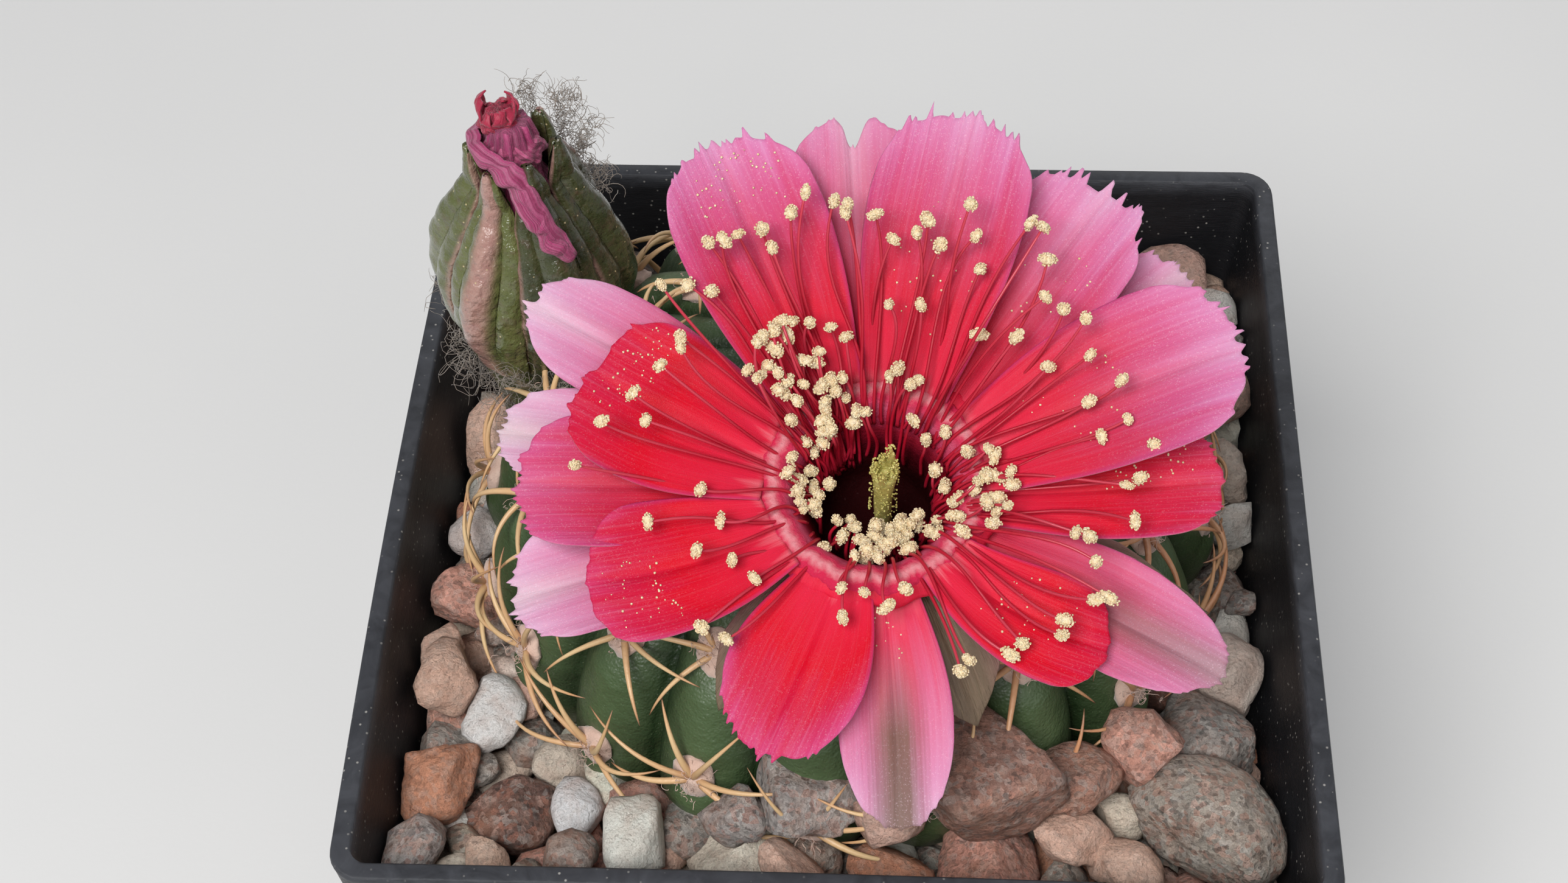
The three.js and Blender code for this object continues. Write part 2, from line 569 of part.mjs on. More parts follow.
// The flower: each tepal gives way to the ones inside it
flower.add(meshFrom(makePistil(), stigmaGreen, 'pistil'));
const innerRing = TUBE_RADIUS - TUBE_WALL - 0.7;
const innerStamens = makeStamens(innerRing, -THROAT_DEPTH + 0.6, INNER_STAMENS, seeded(11), innerReach);
flower.add(meshFrom(innerStamens, filamentRed, 'stamens_inner'));
const outerStamens = makeStamens(THROAT_RADIUS - 1.5, -0.9, OUTER_STAMENS, seeded(12), outerReach);
flower.add(meshFrom(outerStamens, filamentRed, 'stamens_outer'));
flower.add(meshFrom(makeThroatRing(), ringPink, 'throat_ring'));
const above = [];
const addTepal = (shape, material, name) => {
  const piece = largest(above.reduce((left, cutter) => left.subtract(cutter), tepalSolid(shape)));
  above.push(tepalSolid(shape, CLEARANCE));
  flower.add(meshFrom(piece, material, name));
};
TEPALS.forEach((shape, i) => {
  addTepal(shape, shape[8] < -1 ? petalPale : petalRed, `tepal_${String(i + 1).padStart(2, '0')}`);
});
SEPALS.forEach((shape, i) => addTepal(shape, sepalBrown, `sepal_${i + 1}`));
const tubeCutters = [bodyCutterIn(flower), ...above];
const tube = tubeCutters.reduce((left, cutter) => left.subtract(cutter), makeFlowerTube());
flower.add(meshFrom(largest(tube), tubeGreen, 'flower_tube'));

// The spent flower
const spentBodyCutter = bodyCutterIn(spent);
const spentTube = largest(solid(spentTubeLathe(0)).subtract(spentBodyCutter));
spent.add(meshFrom(spentTube, tubeGreen, 'spent_flower_tube'));
for (let i = 0; i < SPENT_SEPALS; i += 1) {
  const sepal = largest(makeSpentSepal(i).subtract(spentBodyCutter));
  spent.add(meshFrom(sepal, sepalBrown, `spent_flower_sepal_${i + 1}`));
}
spent.add(meshFrom(makeSpentPetals(seeded(5)), petalRed, 'spent_flower_petals'));

export default cactus;
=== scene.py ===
"""The looks of a potted round cactus in flower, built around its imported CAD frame.

Shapes are worked out in millimetres and turned into metres when a mesh is made."""
import math

import bmesh
import bpy
import numpy as np
from mathutils import Matrix, Vector, noise


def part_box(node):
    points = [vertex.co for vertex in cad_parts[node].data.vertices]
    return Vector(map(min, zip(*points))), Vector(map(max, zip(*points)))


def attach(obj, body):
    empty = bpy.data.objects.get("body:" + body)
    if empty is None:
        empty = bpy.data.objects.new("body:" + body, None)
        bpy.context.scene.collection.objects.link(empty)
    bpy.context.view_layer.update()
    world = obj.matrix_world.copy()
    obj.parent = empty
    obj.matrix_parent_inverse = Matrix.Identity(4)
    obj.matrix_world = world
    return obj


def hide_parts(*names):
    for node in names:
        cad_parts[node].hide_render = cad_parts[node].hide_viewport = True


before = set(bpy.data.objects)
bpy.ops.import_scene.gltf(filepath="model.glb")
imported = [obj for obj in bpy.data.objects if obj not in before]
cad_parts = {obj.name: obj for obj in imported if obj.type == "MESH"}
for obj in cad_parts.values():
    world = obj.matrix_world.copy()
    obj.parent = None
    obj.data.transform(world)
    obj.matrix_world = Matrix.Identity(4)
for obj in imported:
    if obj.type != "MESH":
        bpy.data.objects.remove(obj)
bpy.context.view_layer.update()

MM = 0.001


# ---------- sizes and places, from the frame, in millimetres ----------
def box_mm(node):
    low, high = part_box(node)
    return np.array(low) / MM, np.array(high) / MM


POT_LOW, POT_HIGH = box_mm("pot")
POT_SIDE = POT_HIGH[0] - POT_LOW[0]
RIM_Z = POT_HIGH[2]
BASE_SIDE = 50.0
BAND_HEIGHT = 8.0
RIM_WALL = 1.5
WALL = 1.0
FLOOR_Z = 1.6
DRAIN_RADIUS = 3.0
SOIL_TOP = box_mm("soil")[1][2]

BODY_LOW, BODY_HIGH = box_mm("cactus_body")
BODY_RISE = 21.0
BODY_DROP = 14.0
BODY_RADIUS = 28.5
BODY_CENTRE = np.array([(BODY_LOW[0] + BODY_HIGH[0]) / 2, (BODY_LOW[1] + BODY_HIGH[1]) / 2, BODY_HIGH[2] - BODY_RISE])
RIBS = 20
FIRST_RIB = math.radians(-147)
FURROW_DEPTH = 0.11

FLOWER_LEAN = math.radians(14)
RING_LOW, RING_HIGH = box_mm("throat_ring")
FLOWER_AXES = np.array([
    [1, 0, 0],
    [0, math.cos(FLOWER_LEAN), math.sin(FLOWER_LEAN)],
    [0, -math.sin(FLOWER_LEAN), math.cos(FLOWER_LEAN)],
])  # rows are the flower's own x, y and z
FLOWER_CENTRE = (RING_LOW + RING_HIGH) / 2 + FLOWER_AXES[2] * 0.3
THROAT_RADIUS = 7.0
THROAT_DEPTH = 8.0
TUBE_RADIUS = 5.0
TUBE_WALL = 1.2
CLAW_RADIUS = 7.3
BASE_SHARE = 0.56

SEPAL_BOXES = [box_mm(f"spent_flower_sepal_{i}") for i in range(1, 7)]
SPENT_LOW = np.min([low for low, _ in SEPAL_BOXES], axis=0)
SPENT_HIGH = np.max([high for _, high in SEPAL_BOXES], axis=0)
SPENT_PLACE = np.array([(SPENT_LOW[0] + SPENT_HIGH[0]) / 2, (SPENT_LOW[1] + SPENT_HIGH[1]) / 2, SPENT_HIGH[2] - 21.5])
SPENT_HEIGHT = 21.5
SPENT_RADIUS = 8.0

# Tepals: azimuth, length, width, slope at the claw and at the tip, sideways bend, cup, outline, drop of the
# claw; then the look: teeth, tone of the tip (0 crimson, 1 lilac), tone added at the edge, paleness, brown stripe
TEPALS = [
    (121, 18.6, 10.4, 45, 25, -4, 0.24, "round", 0, 0.8, 0.93, 0.08, 0.12, 0),
    (74, 18.8, 10.6, 45, 25, 2, 0.24, "round", 0, 1.0, 0.93, 0.06, 0.18, 0),
    (17, 18.8, 11.5, 33, 14, -2, 0.2, "round", 0, 0.9, 0.95, 0.08, 0.18, 0),
    (-48, 12.3, 7.4, 8, -8, 36, 0.1, "round", 0, 0.15, 0.52, 0.08, 0.0, 0),
    (-149, 13.2, 9.8, 12, 1, -22, 0.1, "round", 0, 0.2, 0.64, 0.12, 0.0, 0),
    (168, 13.4, 11.5, 24, 8, -16, 0.15, "round", 0, 0.5, 0.56, 0.05, 0.0, 0),
    (96, 18.6, 8.6, 40, 26, -2, 0.28, "round", -0.8, 0.25, 0.85, 0.05, 0.5, 0),
    (50, 18.4, 10.4, 36, 16, 1, 0.2, "round", -0.8, 1.3, 0.95, 0.10, 0.25, 0),
    (-4, 16.0, 7.8, 20, 4, 8, 0.16, "round", -0.8, 0.5, 0.60, 0.15, 0.05, 0),
    (-109, 12.4, 9.4, 4, -16, -6, 0.1, "strap", -0.8, 1.1, 0.70, 0.36, 0.0, 0),
    (-177, 16.6, 9.8, 12, 0, -1, 0.2, "round", -0.8, 0.7, 0.76, 0.15, 0.1, 0),
    (154, 19.2, 8.0, 20, 14, 4, 0.04, "round", -1.1, 0.4, 1.0, 0.10, 0.6, 0),
    (34, 18.6, 7.4, 24, 8, 2, 0.2, "round", -1.7, 0.5, 0.95, 0.10, 0.5, 0.2),
    (-29, 19.0, 8.0, 4, -5, 2, 0.16, "strap", -1.7, 0.3, 0.90, 0.12, 0.55, 0.6),
    (-83, 15.8, 7.6, -4, -38, -4, 0.16, "strap", -1.7, 0.25, 1.0, 0.10, 0.75, 1.0),
    (-160, 18.0, 8.4, 4, -8, -4, 0.2, "round", -1.7, 0.6, 1.0, 0.08, 0.7, 0.1),
    (172, 18.6, 7.4, 10, -4, 0, 0.2, "round", -1.7, 0.5, 1.0, 0.0, 1.0, 0.15),
]
SEPALS = [
    (-14, 17.0, 3.8, -8, -22, -2, 0.3, "point", -3.0, 0.0, 1.0),
    (-128, 11.5, 4.6, -14, -50, 0, 0.3, "point", -3.0, 0.0, 1.0),
    (-62, 10.5, 5.6, -16, -55, -2, 0.3, "point", -3.0, 0.0, 1.0),
]


# ---------- mesh helpers ----------
class Shape:
    """Gathers parts of one mesh, with a value per point for the material, and makes the object."""

    def __init__(self):
        self.points, self.faces, self.slots, self.values = [], [], [], {}
        self.count = 0

    def add(self, points, faces, slot=0, **values):
        points = np.asarray(points, float).reshape(-1, 3)
        self.points.append(points)
        for face_list in faces if isinstance(faces, list) else [faces]:
            indices = np.asarray(face_list) + self.count
            self.faces.extend(indices.tolist())
            self.slots.extend([slot] * len(indices))
        for key in set(self.values) | set(values):
            known = self.values.setdefault(key, [])
            have = sum(len(v) for v in known)
            if have < self.count:
                width = 3 if key == "tint" else 1
                known.append(np.zeros((self.count - have, width)))
            width = 3 if key == "tint" else 1
            value = np.asarray(values.get(key, 0.0), float)
            value = np.broadcast_to(value.reshape(-1, width) if value.ndim else value, (len(points), width))
            known.append(value)
        self.count += len(points)

    def make(self, name, materials, smooth=True):
        mesh = bpy.data.meshes.new(name)
        points = np.vstack(self.points) * MM
        mesh.from_pydata(points.tolist(), [], self.faces)
        for material in materials:
            mesh.materials.append(material)
        mesh.polygons.foreach_set("material_index", self.slots)
        mesh.polygons.foreach_set("use_smooth", [smooth] * len(mesh.polygons))
        for key, parts in self.values.items():
            data = np.vstack(parts)
            if key == "tint":
                colour = np.hstack([data, np.ones((len(data), 1))])
                mesh.attributes.new(key, "FLOAT_COLOR", "POINT").data.foreach_set("color", colour.ravel())
            else:
                mesh.attributes.new(key, "FLOAT", "POINT").data.foreach_set("value", data.ravel())
        mesh.update()
        thing = bpy.data.objects.new(name, mesh)
        bpy.context.collection.objects.link(thing)
        return thing


def declare(thing, slot, *nodes):
    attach(thing, "root")
    if nodes:
        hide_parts(*nodes)


def grid_faces(rows, columns, around=False):
    """Faces of a grid of points, row by row; around joins the last column to the first."""
    r = np.arange(rows - 1)[:, None]
    c = np.arange(columns if around else columns - 1)[None, :]
    n = (c + 1) % columns
    quads = np.stack([r * columns + c, r * columns + n, (r + 1) * columns + n, (r + 1) * columns + c], -1)
    return quads.reshape(-1, 4)


def closed_stack(rings):
    """Points and faces of stacked closed rings, with a fan at each end."""
    rings = np.asarray(rings, float)
    rows, columns = rings.shape[:2]
    points = np.vstack([rings.reshape(-1, 3), rings[0].mean(0), rings[-1].mean(0)])
    around = np.arange(columns)
    ahead = (around + 1) % columns
    foot = np.stack([np.full(columns, rows * columns), ahead, around], -1)
    last = (rows - 1) * columns
    head = np.stack([np.full(columns, rows * columns + 1), last + around, last + ahead], -1)
    return points, [grid_faces(rows, columns, True), foot, head]


def unit(v):
    return v / np.maximum(np.linalg.norm(v, axis=-1, keepdims=True), 1e-9)


def tube(path, radii, sides=8):
    """A closed tube along a path; it keeps its section from twisting."""
    path = np.asarray(path, float)
    radii = np.broadcast_to(radii, len(path))
    along = unit(np.gradient(path, axis=0))
    start = np.cross(along[0], [0.3, 0.2, 1.0])
    if np.linalg.norm(start) < 0.2:
        start = np.cross(along[0], [1.0, 0, 0])
    side = unit(start)
    angles = np.arange(sides) / sides * 2 * math.pi
    rings = []
    for point, heading, radius in zip(path, along, radii):
        side = unit(side - heading * (side @ heading))
        other = np.cross(heading, side)
        ring = point + radius * (np.cos(angles)[:, None] * side + np.sin(angles)[:, None] * other)
        rings.append(ring)
    return closed_stack(rings)


def bezier(a, b, c, steps):
    t = np.linspace(0, 1, steps)[:, None]
    return (1 - t) ** 2 * np.asarray(a) + 2 * (1 - t) * t * np.asarray(b) + t ** 2 * np.asarray(c)


BALLS = {}


def ball(level):
    """Points and triangles of a unit sphere of near-even triangles."""
    if level not in BALLS:
        work = bmesh.new()
        bmesh.ops.create_icosphere(work, subdivisions=level, radius=1.0)
        points = np.array([v.co[:] for v in work.verts])
        faces = np.array([[v.index for v in f.verts] for f in work.faces])
        work.free()
        BALLS[level] = (points, faces)
    return BALLS[level]


def lathe(profile, columns, wave=None):
    """Rings round z from (radius, height) pairs; wave(angle, row) scales the radius."""
    angles = np.arange(columns) / columns * 2 * math.pi
    rings = []
    for row, (radius, height) in enumerate(profile):
        r = radius * (wave(angles, row) if wave else 1.0)
        rings.append(np.stack([r * np.cos(angles), r * np.sin(angles), np.full(columns, height)], -1))
    return closed_stack(rings)


def smooth_profile(points, steps=4):
    """Rounds a profile's corners with a curve through its points."""
    points = np.asarray(points, float)
    padded = np.vstack([points[0] * 2 - points[1], points, points[-1] * 2 - points[-2]])
    out = []
    for i in range(1, len(padded) - 2):
        p0, p1, p2, p3 = padded[i - 1:i + 3]
        for t in np.arange(steps) / steps:
            out.append(0.5 * (2 * p1 + (p2 - p0) * t + (2 * p0 - 5 * p1 + 4 * p2 - p3) * t * t
                              + (3 * p1 - p0 - 3 * p2 + p3) * t ** 3))
    out.append(points[-1])
    return np.array(out)


def rough(points, scale, seed=0.0):
    """Smooth noise at each point, about -1 to 1."""
    return np.array([noise.noise(Vector((p * scale + seed).tolist())) for p in points])


def to_world(points):
    """From the flower's own frame to the part's."""
    return FLOWER_CENTRE + np.asarray(points) @ FLOWER_AXES


# ---------- material helpers ----------
class Nodes:
    """A Principled material and short ways to wire nodes into it."""

    def __init__(self, name, roughness=0.5, **settings):
        self.material = bpy.data.materials.new(name)
        self.material.use_nodes = True
        self.tree = self.material.node_tree
        self.shader = self.tree.nodes["Principled BSDF"]
        self.shader.inputs["Roughness"].default_value = roughness
        for key, value in settings.items():
            self.shader.inputs[key.replace("_", " ")].default_value = value

    def node(self, kind, inputs=None, **settings):
        made = self.tree.nodes.new(kind)
        for key, value in settings.items():
            setattr(made, key, value)
        for key, value in (inputs or {}).items():
            if isinstance(value, bpy.types.NodeSocket):
                self.tree.links.new(value, made.inputs[key])
            else:
                made.inputs[key].default_value = value
        return made

    def place(self, stretch=(1, 1, 1)):
        """Coordinates in millimetres, stretched."""
        coordinates = self.node("ShaderNodeTexCoord")
        scale = tuple(s / MM for s in stretch)
        return self.node("ShaderNodeMapping", {"Vector": coordinates.outputs["Object"], "Scale": scale}).outputs[0]

    def value(self, name):
        return self.node("ShaderNodeAttribute", attribute_name=name).outputs["Fac"]

    def tint(self, name="tint"):
        return self.node("ShaderNodeAttribute", attribute_name=name).outputs["Color"]

    def noise(self, scale, detail=3.0, vector=None, distortion=0.0, roughness=0.55):
        inputs = {"Vector": vector or self.place(), "Scale": scale, "Detail": detail, "Distortion": distortion,
                  "Roughness": roughness}
        return self.node("ShaderNodeTexNoise", inputs).outputs["Fac"]

    def cells(self, scale, feature="F1", vector=None, randomness=1.0):
        inputs = {"Vector": vector or self.place(), "Scale": scale, "Randomness": randomness}
        return self.node("ShaderNodeTexVoronoi", inputs, feature=feature)

    def ramp(self, factor, stops):
        made = self.node("ShaderNodeValToRGB", {"Fac": factor})
        elements = made.color_ramp.elements
        while len(elements) < len(stops):
            elements.new(0.5)
        for element, (place, colour) in zip(elements, stops):
            element.position = place
            element.color = (*colour, 1) if isinstance(colour, tuple) else (colour, colour, colour, 1)
        return made.outputs["Color"]

    def mix(self, factor, a, b, blend="MIX"):
        made = self.tree.nodes.new("ShaderNodeMix")
        made.data_type = "RGBA"
        made.blend_type = blend
        for socket, value in ((made.inputs[0], factor), (made.inputs[6], a), (made.inputs[7], b)):
            if isinstance(value, bpy.types.NodeSocket):
                self.tree.links.new(value, socket)
            elif isinstance(value, tuple):
                socket.default_value = (*value, 1)
            else:
                socket.default_value = value
        return made.outputs[2]

    def math(self, kind, a, b=0.5, clamp=False):
        return self.node("ShaderNodeMath", {0: a, 1: b}, operation=kind, use_clamp=clamp).outputs[0]

    def combine(self, x, y, z):
        return self.node("ShaderNodeCombineXYZ", {0: x, 1: y, 2: z}).outputs[0]

    def colour(self, socket):
        self.tree.links.new(socket, self.shader.inputs["Base Color"])

    def rough(self, factor, low, high):
        made = self.node("ShaderNodeMapRange", {"Value": factor, "To Min": low, "To Max": high})
        self.tree.links.new(made.outputs[0], self.shader.inputs["Roughness"])

    def bump(self, heights):
        """Adds bumps: pairs of a height socket and its depth in millimetres."""
        normal = None
        for height, depth in heights:
            inputs = {"Height": height, "Distance": depth * MM, "Strength": 1.0}
            if normal is not None:
                inputs["Normal"] = normal
            normal = self.node("ShaderNodeBump", inputs).outputs[0]
        self.tree.links.new(normal, self.shader.inputs["Normal"])


# ---------- materials ----------
def make_pot_plastic():
    m = Nodes("pot_plastic", 0.4, Specular_IOR_Level=0.3)
    grain = m.noise(1.6, 4, m.place((0.5, 0.5, 6)))
    scuff = m.noise(0.35, 5, m.place((1, 1, 3)), distortion=1.5)
    dust = m.cells(1.5)
    speck = m.ramp(dust.outputs["Distance"], [(0.08, 1.0), (0.17, 0.0)])
    rare = m.ramp(m.noise(0.25, 3), [(0.40, 0.0), (0.55, 1.0)])
    speck = m.mix(1.0, speck, rare, "MULTIPLY")
    # Painted light: the top of the rim is mixed towards a lighter grey, as where it catches the light, broken up by
    # scuff noise; the rest of the pot gets a faint share.
    height = m.value("rim")
    base = m.mix(grain, (0.005, 0.005, 0.006), (0.012, 0.012, 0.014))
    painted_rim_light = m.mix(m.math("MULTIPLY", height, scuff), base, (0.075, 0.079, 0.09))
    m.colour(m.mix(m.math("MULTIPLY", speck, 0.6), painted_rim_light, (0.5, 0.48, 0.44)))
    m.rough(scuff, 0.32, 0.55)
    m.bump([(grain, 0.05), (m.noise(9.0, 3, m.place((8, 1, 1))), 0.02)])
    return m.material


def make_soil():
    m = Nodes("soil", 0.95)
    lumps = m.noise(0.8, 8)
    m.colour(m.ramp(lumps, [(0.3, (0.006, 0.004, 0.003)), (0.55, (0.03, 0.018, 0.01)), (0.8, (0.09, 0.06, 0.04))]))
    m.bump([(lumps, 0.8)])
    return m.material


def make_gravel():
    """Granite: each pebble's own tint, feldspar and quartz grains, black mica, pale dust."""
    m = Nodes("gravel", 0.7)
    tint = m.tint()
    speckle = m.value("speckle")
    grains = m.cells(2.4)
    tone = m.node("ShaderNodeSeparateColor", {"Color": grains.outputs["Color"]}).outputs
    grain_light = m.ramp(tone[0], [(0.0, 0.62), (0.5, 0.98), (1.0, 1.3)])
    grained = m.mix(speckle, tint, m.mix(1.0, tint, grain_light, "MULTIPLY"))
    quartz = m.math("MULTIPLY", m.ramp(tone[1], [(0.66, 0.0), (0.7, 1.0)]), speckle)
    with_quartz = m.mix(m.math("MULTIPLY", quartz, 0.45), grained, (0.5, 0.47, 0.43))
    feldspar = m.math("MULTIPLY", m.ramp(tone[2], [(0.7, 0.0), (0.74, 1.0)]), speckle)
    with_pink = m.mix(m.math("MULTIPLY", feldspar, 0.4), with_quartz, (0.5, 0.2, 0.13))
    mica = m.cells(3.2)
    mica_tone = m.node("ShaderNodeSeparateColor", {"Color": mica.outputs["Color"]}).outputs[0]
    flakes = m.math("MULTIPLY", m.ramp(mica_tone, [(0.84, 0.0), (0.86, 1.0)]), speckle)
    with_mica = m.mix(m.math("MULTIPLY", flakes, 0.6), with_pink, (0.02, 0.017, 0.015))
    mottle = m.noise(0.42, 6, distortion=1.2, roughness=0.65)
    light_dark = m.ramp(mottle, [(0.3, 0.5), (0.44, 1.0), (0.56, 1.25), (0.72, 1.8)])
    with_mica = m.mix(speckle, with_mica, m.mix(1.0, with_mica, light_dark, "MULTIPLY"))
    streak = m.ramp(m.noise(0.3, 5, m.place((1, 1, 2.6)), distortion=2.0), [(0.48, 0.0), (0.5, 0.4), (0.52, 0.0)])
    with_mica = m.mix(m.math("MULTIPLY", streak, speckle), with_mica, (0.09, 0.075, 0.07))
    stain = m.noise(0.28, 5, distortion=0.8)
    stained = m.mix(m.ramp(stain, [(0.45, 0.0), (0.75, 0.45)]), with_mica, (0.52, 0.25, 0.15))
    dust = m.ramp(m.noise(1.1, 6), [(0.5, 0.0), (0.8, 0.4)])
    m.colour(m.mix(dust, stained, (0.60, 0.48, 0.40)))
    m.rough(tone[1], 0.45, 0.8)
    fine = m.noise(3.5, 6, roughness=0.7)
    m.bump([(m.noise(0.8, 5, roughness=0.7), 0.9), (fine, 0.3), (grains.outputs["Distance"], 0.08)])
    return m.material


def make_skin():
    """Waxy cactus skin: darker furrows, crests painted paler, partly its own bloom and partly a painted highlight, fine
    pale specks.
    """
    m = Nodes("cactus_skin", 0.42, Subsurface_Weight=0.06, Subsurface_Scale=0.001)
    m.shader.inputs["Subsurface Radius"].default_value = (0.6, 1.0, 0.3)
    crest = m.value("crest")
    blotch = m.noise(0.16, 5, distortion=0.6)
    green = m.mix(blotch, (0.011, 0.025, 0.008), (0.028, 0.053, 0.018))
    # Painted highlight: the rib crests are mixed towards a paler green, on top of the skin's own bloom.
    light = m.mix(m.ramp(crest, [(0.35, 0.0), (1.0, 0.75)]), green, (0.085, 0.130, 0.055))
    dots = m.cells(2.6)
    spot = m.ramp(dots.outputs["Distance"], [(0.06, 1.0), (0.16, 0.0)])
    spotted = m.mix(m.math("MULTIPLY", spot, 0.35), light, (0.22, 0.26, 0.16))
    aged = m.math("MULTIPLY", m.value("corky"), m.noise(0.7, 5))
    m.colour(m.mix(aged, spotted, (0.12, 0.08, 0.045)))
    m.rough(blotch, 0.34, 0.55)
    pores = m.cells(5.0, "SMOOTH_F1")
    m.bump([(m.noise(0.5, 4), 0.35), (pores.outputs["Distance"], 0.05)])
    return m.material


def make_spine():
    m = Nodes("spine", 0.42)
    along = m.value("along")
    warm = m.value("warm")
    streak = m.noise(3.0, 3, m.place((1, 1, 0.4)))
    pale = m.ramp(along, [(0.0, (0.30, 0.12, 0.06)), (0.14, (0.66, 0.42, 0.20)), (0.6, (0.72, 0.52, 0.27)),
                          (0.88, (0.55, 0.28, 0.12)), (1.0, (0.18, 0.04, 0.02))])
    orange = m.ramp(along, [(0.0, (0.28, 0.09, 0.05)), (0.25, (0.50, 0.20, 0.09)), (0.75, (0.42, 0.15, 0.06)),
                            (1.0, (0.12, 0.02, 0.01))])
    mixed = m.mix(warm, pale, orange)
    m.colour(m.mix(m.math("MULTIPLY", streak, 0.3), mixed, (0.8, 0.62, 0.38)))
    m.bump([(streak, 0.04)])
    return m.material


def make_wool(name, light, dark):
    m = Nodes(name, 0.9, Sheen_Weight=0.4)
    m.colour(m.mix(m.noise(0.9, 4), dark, light))
    m.bump([(m.noise(6.0, 3), 0.08)])
    return m.material


def petal_nodes(name):
    """The shader settings all tepals share: a little red subsurface and low specular; make_tepal adds the silk veins,
    sparkling cells and the crimson-to-lilac blade.
    """
    m = Nodes(name, 0.5, Subsurface_Weight=0.1, Subsurface_Scale=0.001, Specular_IOR_Level=0.14)
    m.shader.inputs["Subsurface Radius"].default_value = (1.0, 0.1, 0.14)
    return m


def make_tepal():
    m = petal_nodes("tepal")
    along = m.value("along")
    across = m.value("across")
    pale = m.value("pale")
    vein_place = m.combine(m.math("MULTIPLY", across, 26.0), m.math("MULTIPLY", along, 1.6), pale)
    veins = m.noise(1.0, 4, vein_place)
    broad_place = m.combine(m.math("MULTIPLY", across, 3.6), m.math("MULTIPLY", along, 1.3), pale)
    broad = m.noise(1.0, 2, broad_place)
    tone = m.math("ADD", m.value("tone"), m.math("MULTIPLY", m.math("SUBTRACT", broad, 0.5), 0.34))
    tone = m.math("ADD", tone, m.math("MULTIPLY", m.math("SUBTRACT", veins, 0.5), 0.10))
    red = m.ramp(tone, [(0.0, (0.74, 0.13, 0.17)), (0.08, (0.66, 0.016, 0.05)), (0.36, (0.58, 0.002, 0.016)),
                        (0.55, (0.51, 0.008, 0.045)), (0.74, (0.52, 0.045, 0.16)), (0.9, (0.55, 0.13, 0.31)),
                        (1.0, (0.56, 0.21, 0.41))])
    pink = m.ramp(tone, [(0.0, (0.70, 0.12, 0.16)), (0.2, (0.64, 0.04, 0.10)), (0.5, (0.60, 0.13, 0.26)),
                         (0.8, (0.60, 0.27, 0.42)), (1.0, (0.64, 0.42, 0.54))])
    blade = m.mix(pale, red, pink)
    rim = m.ramp(m.math("ABSOLUTE", across, 0), [(0.93, 0.0), (0.99, 0.5)])
    blade = m.mix(rim, blade, (0.40, 0.04, 0.16))
    light_vein = m.ramp(veins, [(0.5, 0.0), (0.75, 0.16)])
    blade = m.mix(m.math("MULTIPLY", light_vein, tone), blade, (0.74, 0.42, 0.56))
    white_stripe = m.ramp(m.math("ABSOLUTE", across, 0), [(0.04, 0.6), (0.35, 0.0)])
    white_stripe = m.math("MULTIPLY", m.math("MULTIPLY", white_stripe, pale), m.math("POWER", along, 2.0))
    blade = m.mix(white_stripe, blade, (0.70, 0.56, 0.56))
    # The underside is paler; outer tepals carry an olive-brown midstripe
    below = m.mix(0.55, blade, (0.60, 0.34, 0.40))
    blade = m.mix(m.value("under"), blade, below)
    wobble = m.math("ADD", m.math("ABSOLUTE", across, 0), m.math("MULTIPLY", m.math("SUBTRACT", veins, 0.5), 0.3))
    stripe = m.ramp(wobble, [(0.15, 1.0), (0.62, 0.0)])
    blade = m.mix(m.math("MULTIPLY", stripe, m.value("stripe")), blade, (0.13, 0.08, 0.042))
    cells = m.cells(15.0)
    sparkle = m.node("ShaderNodeSeparateColor", {"Color": cells.outputs["Color"]}).outputs[0]
    glint = m.math("MULTIPLY", m.ramp(sparkle, [(0.88, 0.0), (1.0, 0.3)]), m.math("POWER", m.value("tone"), 2.0))
    blade = m.mix(glint, blade, (0.86, 0.66, 0.76))
    m.colour(blade)
    m.rough(sparkle, 0.38, 0.6)
    m.bump([(veins, 0.045), (cells.outputs["Distance"], 0.012)])
    return m.material


def make_sepal(name, gloss):
    """Olive-brown sepal with pinkish ribs."""
    m = Nodes(name, gloss)
    along, across = m.value("along"), m.value("across")
    place = m.combine(m.math("MULTIPLY", across, 9.0), m.math("MULTIPLY", along, 2.0), m.value("pale"))
    veins = m.noise(1.0, 4, place)
    blotch = m.noise(0.35, 4)
    olive = m.mix(blotch, (0.035, 0.045, 0.016), (0.12, 0.12, 0.05))
    rosy = m.mix(veins, (0.10, 0.045, 0.035), (0.42, 0.24, 0.19))
    both = m.mix(m.value("pale"), olive, rosy)
    margin = m.math("POWER", m.math("ABSOLUTE", across, 0), 4.0)
    both = m.mix(m.math("MULTIPLY", margin, 0.6), both, (0.3, 0.12, 0.12))
    m.colour(m.mix(m.ramp(veins, [(0.55, 0.0), (0.8, 0.4)]), both, (0.30, 0.24, 0.13)))
    m.rough(veins, gloss - 0.1, gloss + 0.15)
    m.bump([(veins, 0.3), (m.noise(3.0, 4), 0.06)])
    return m.material


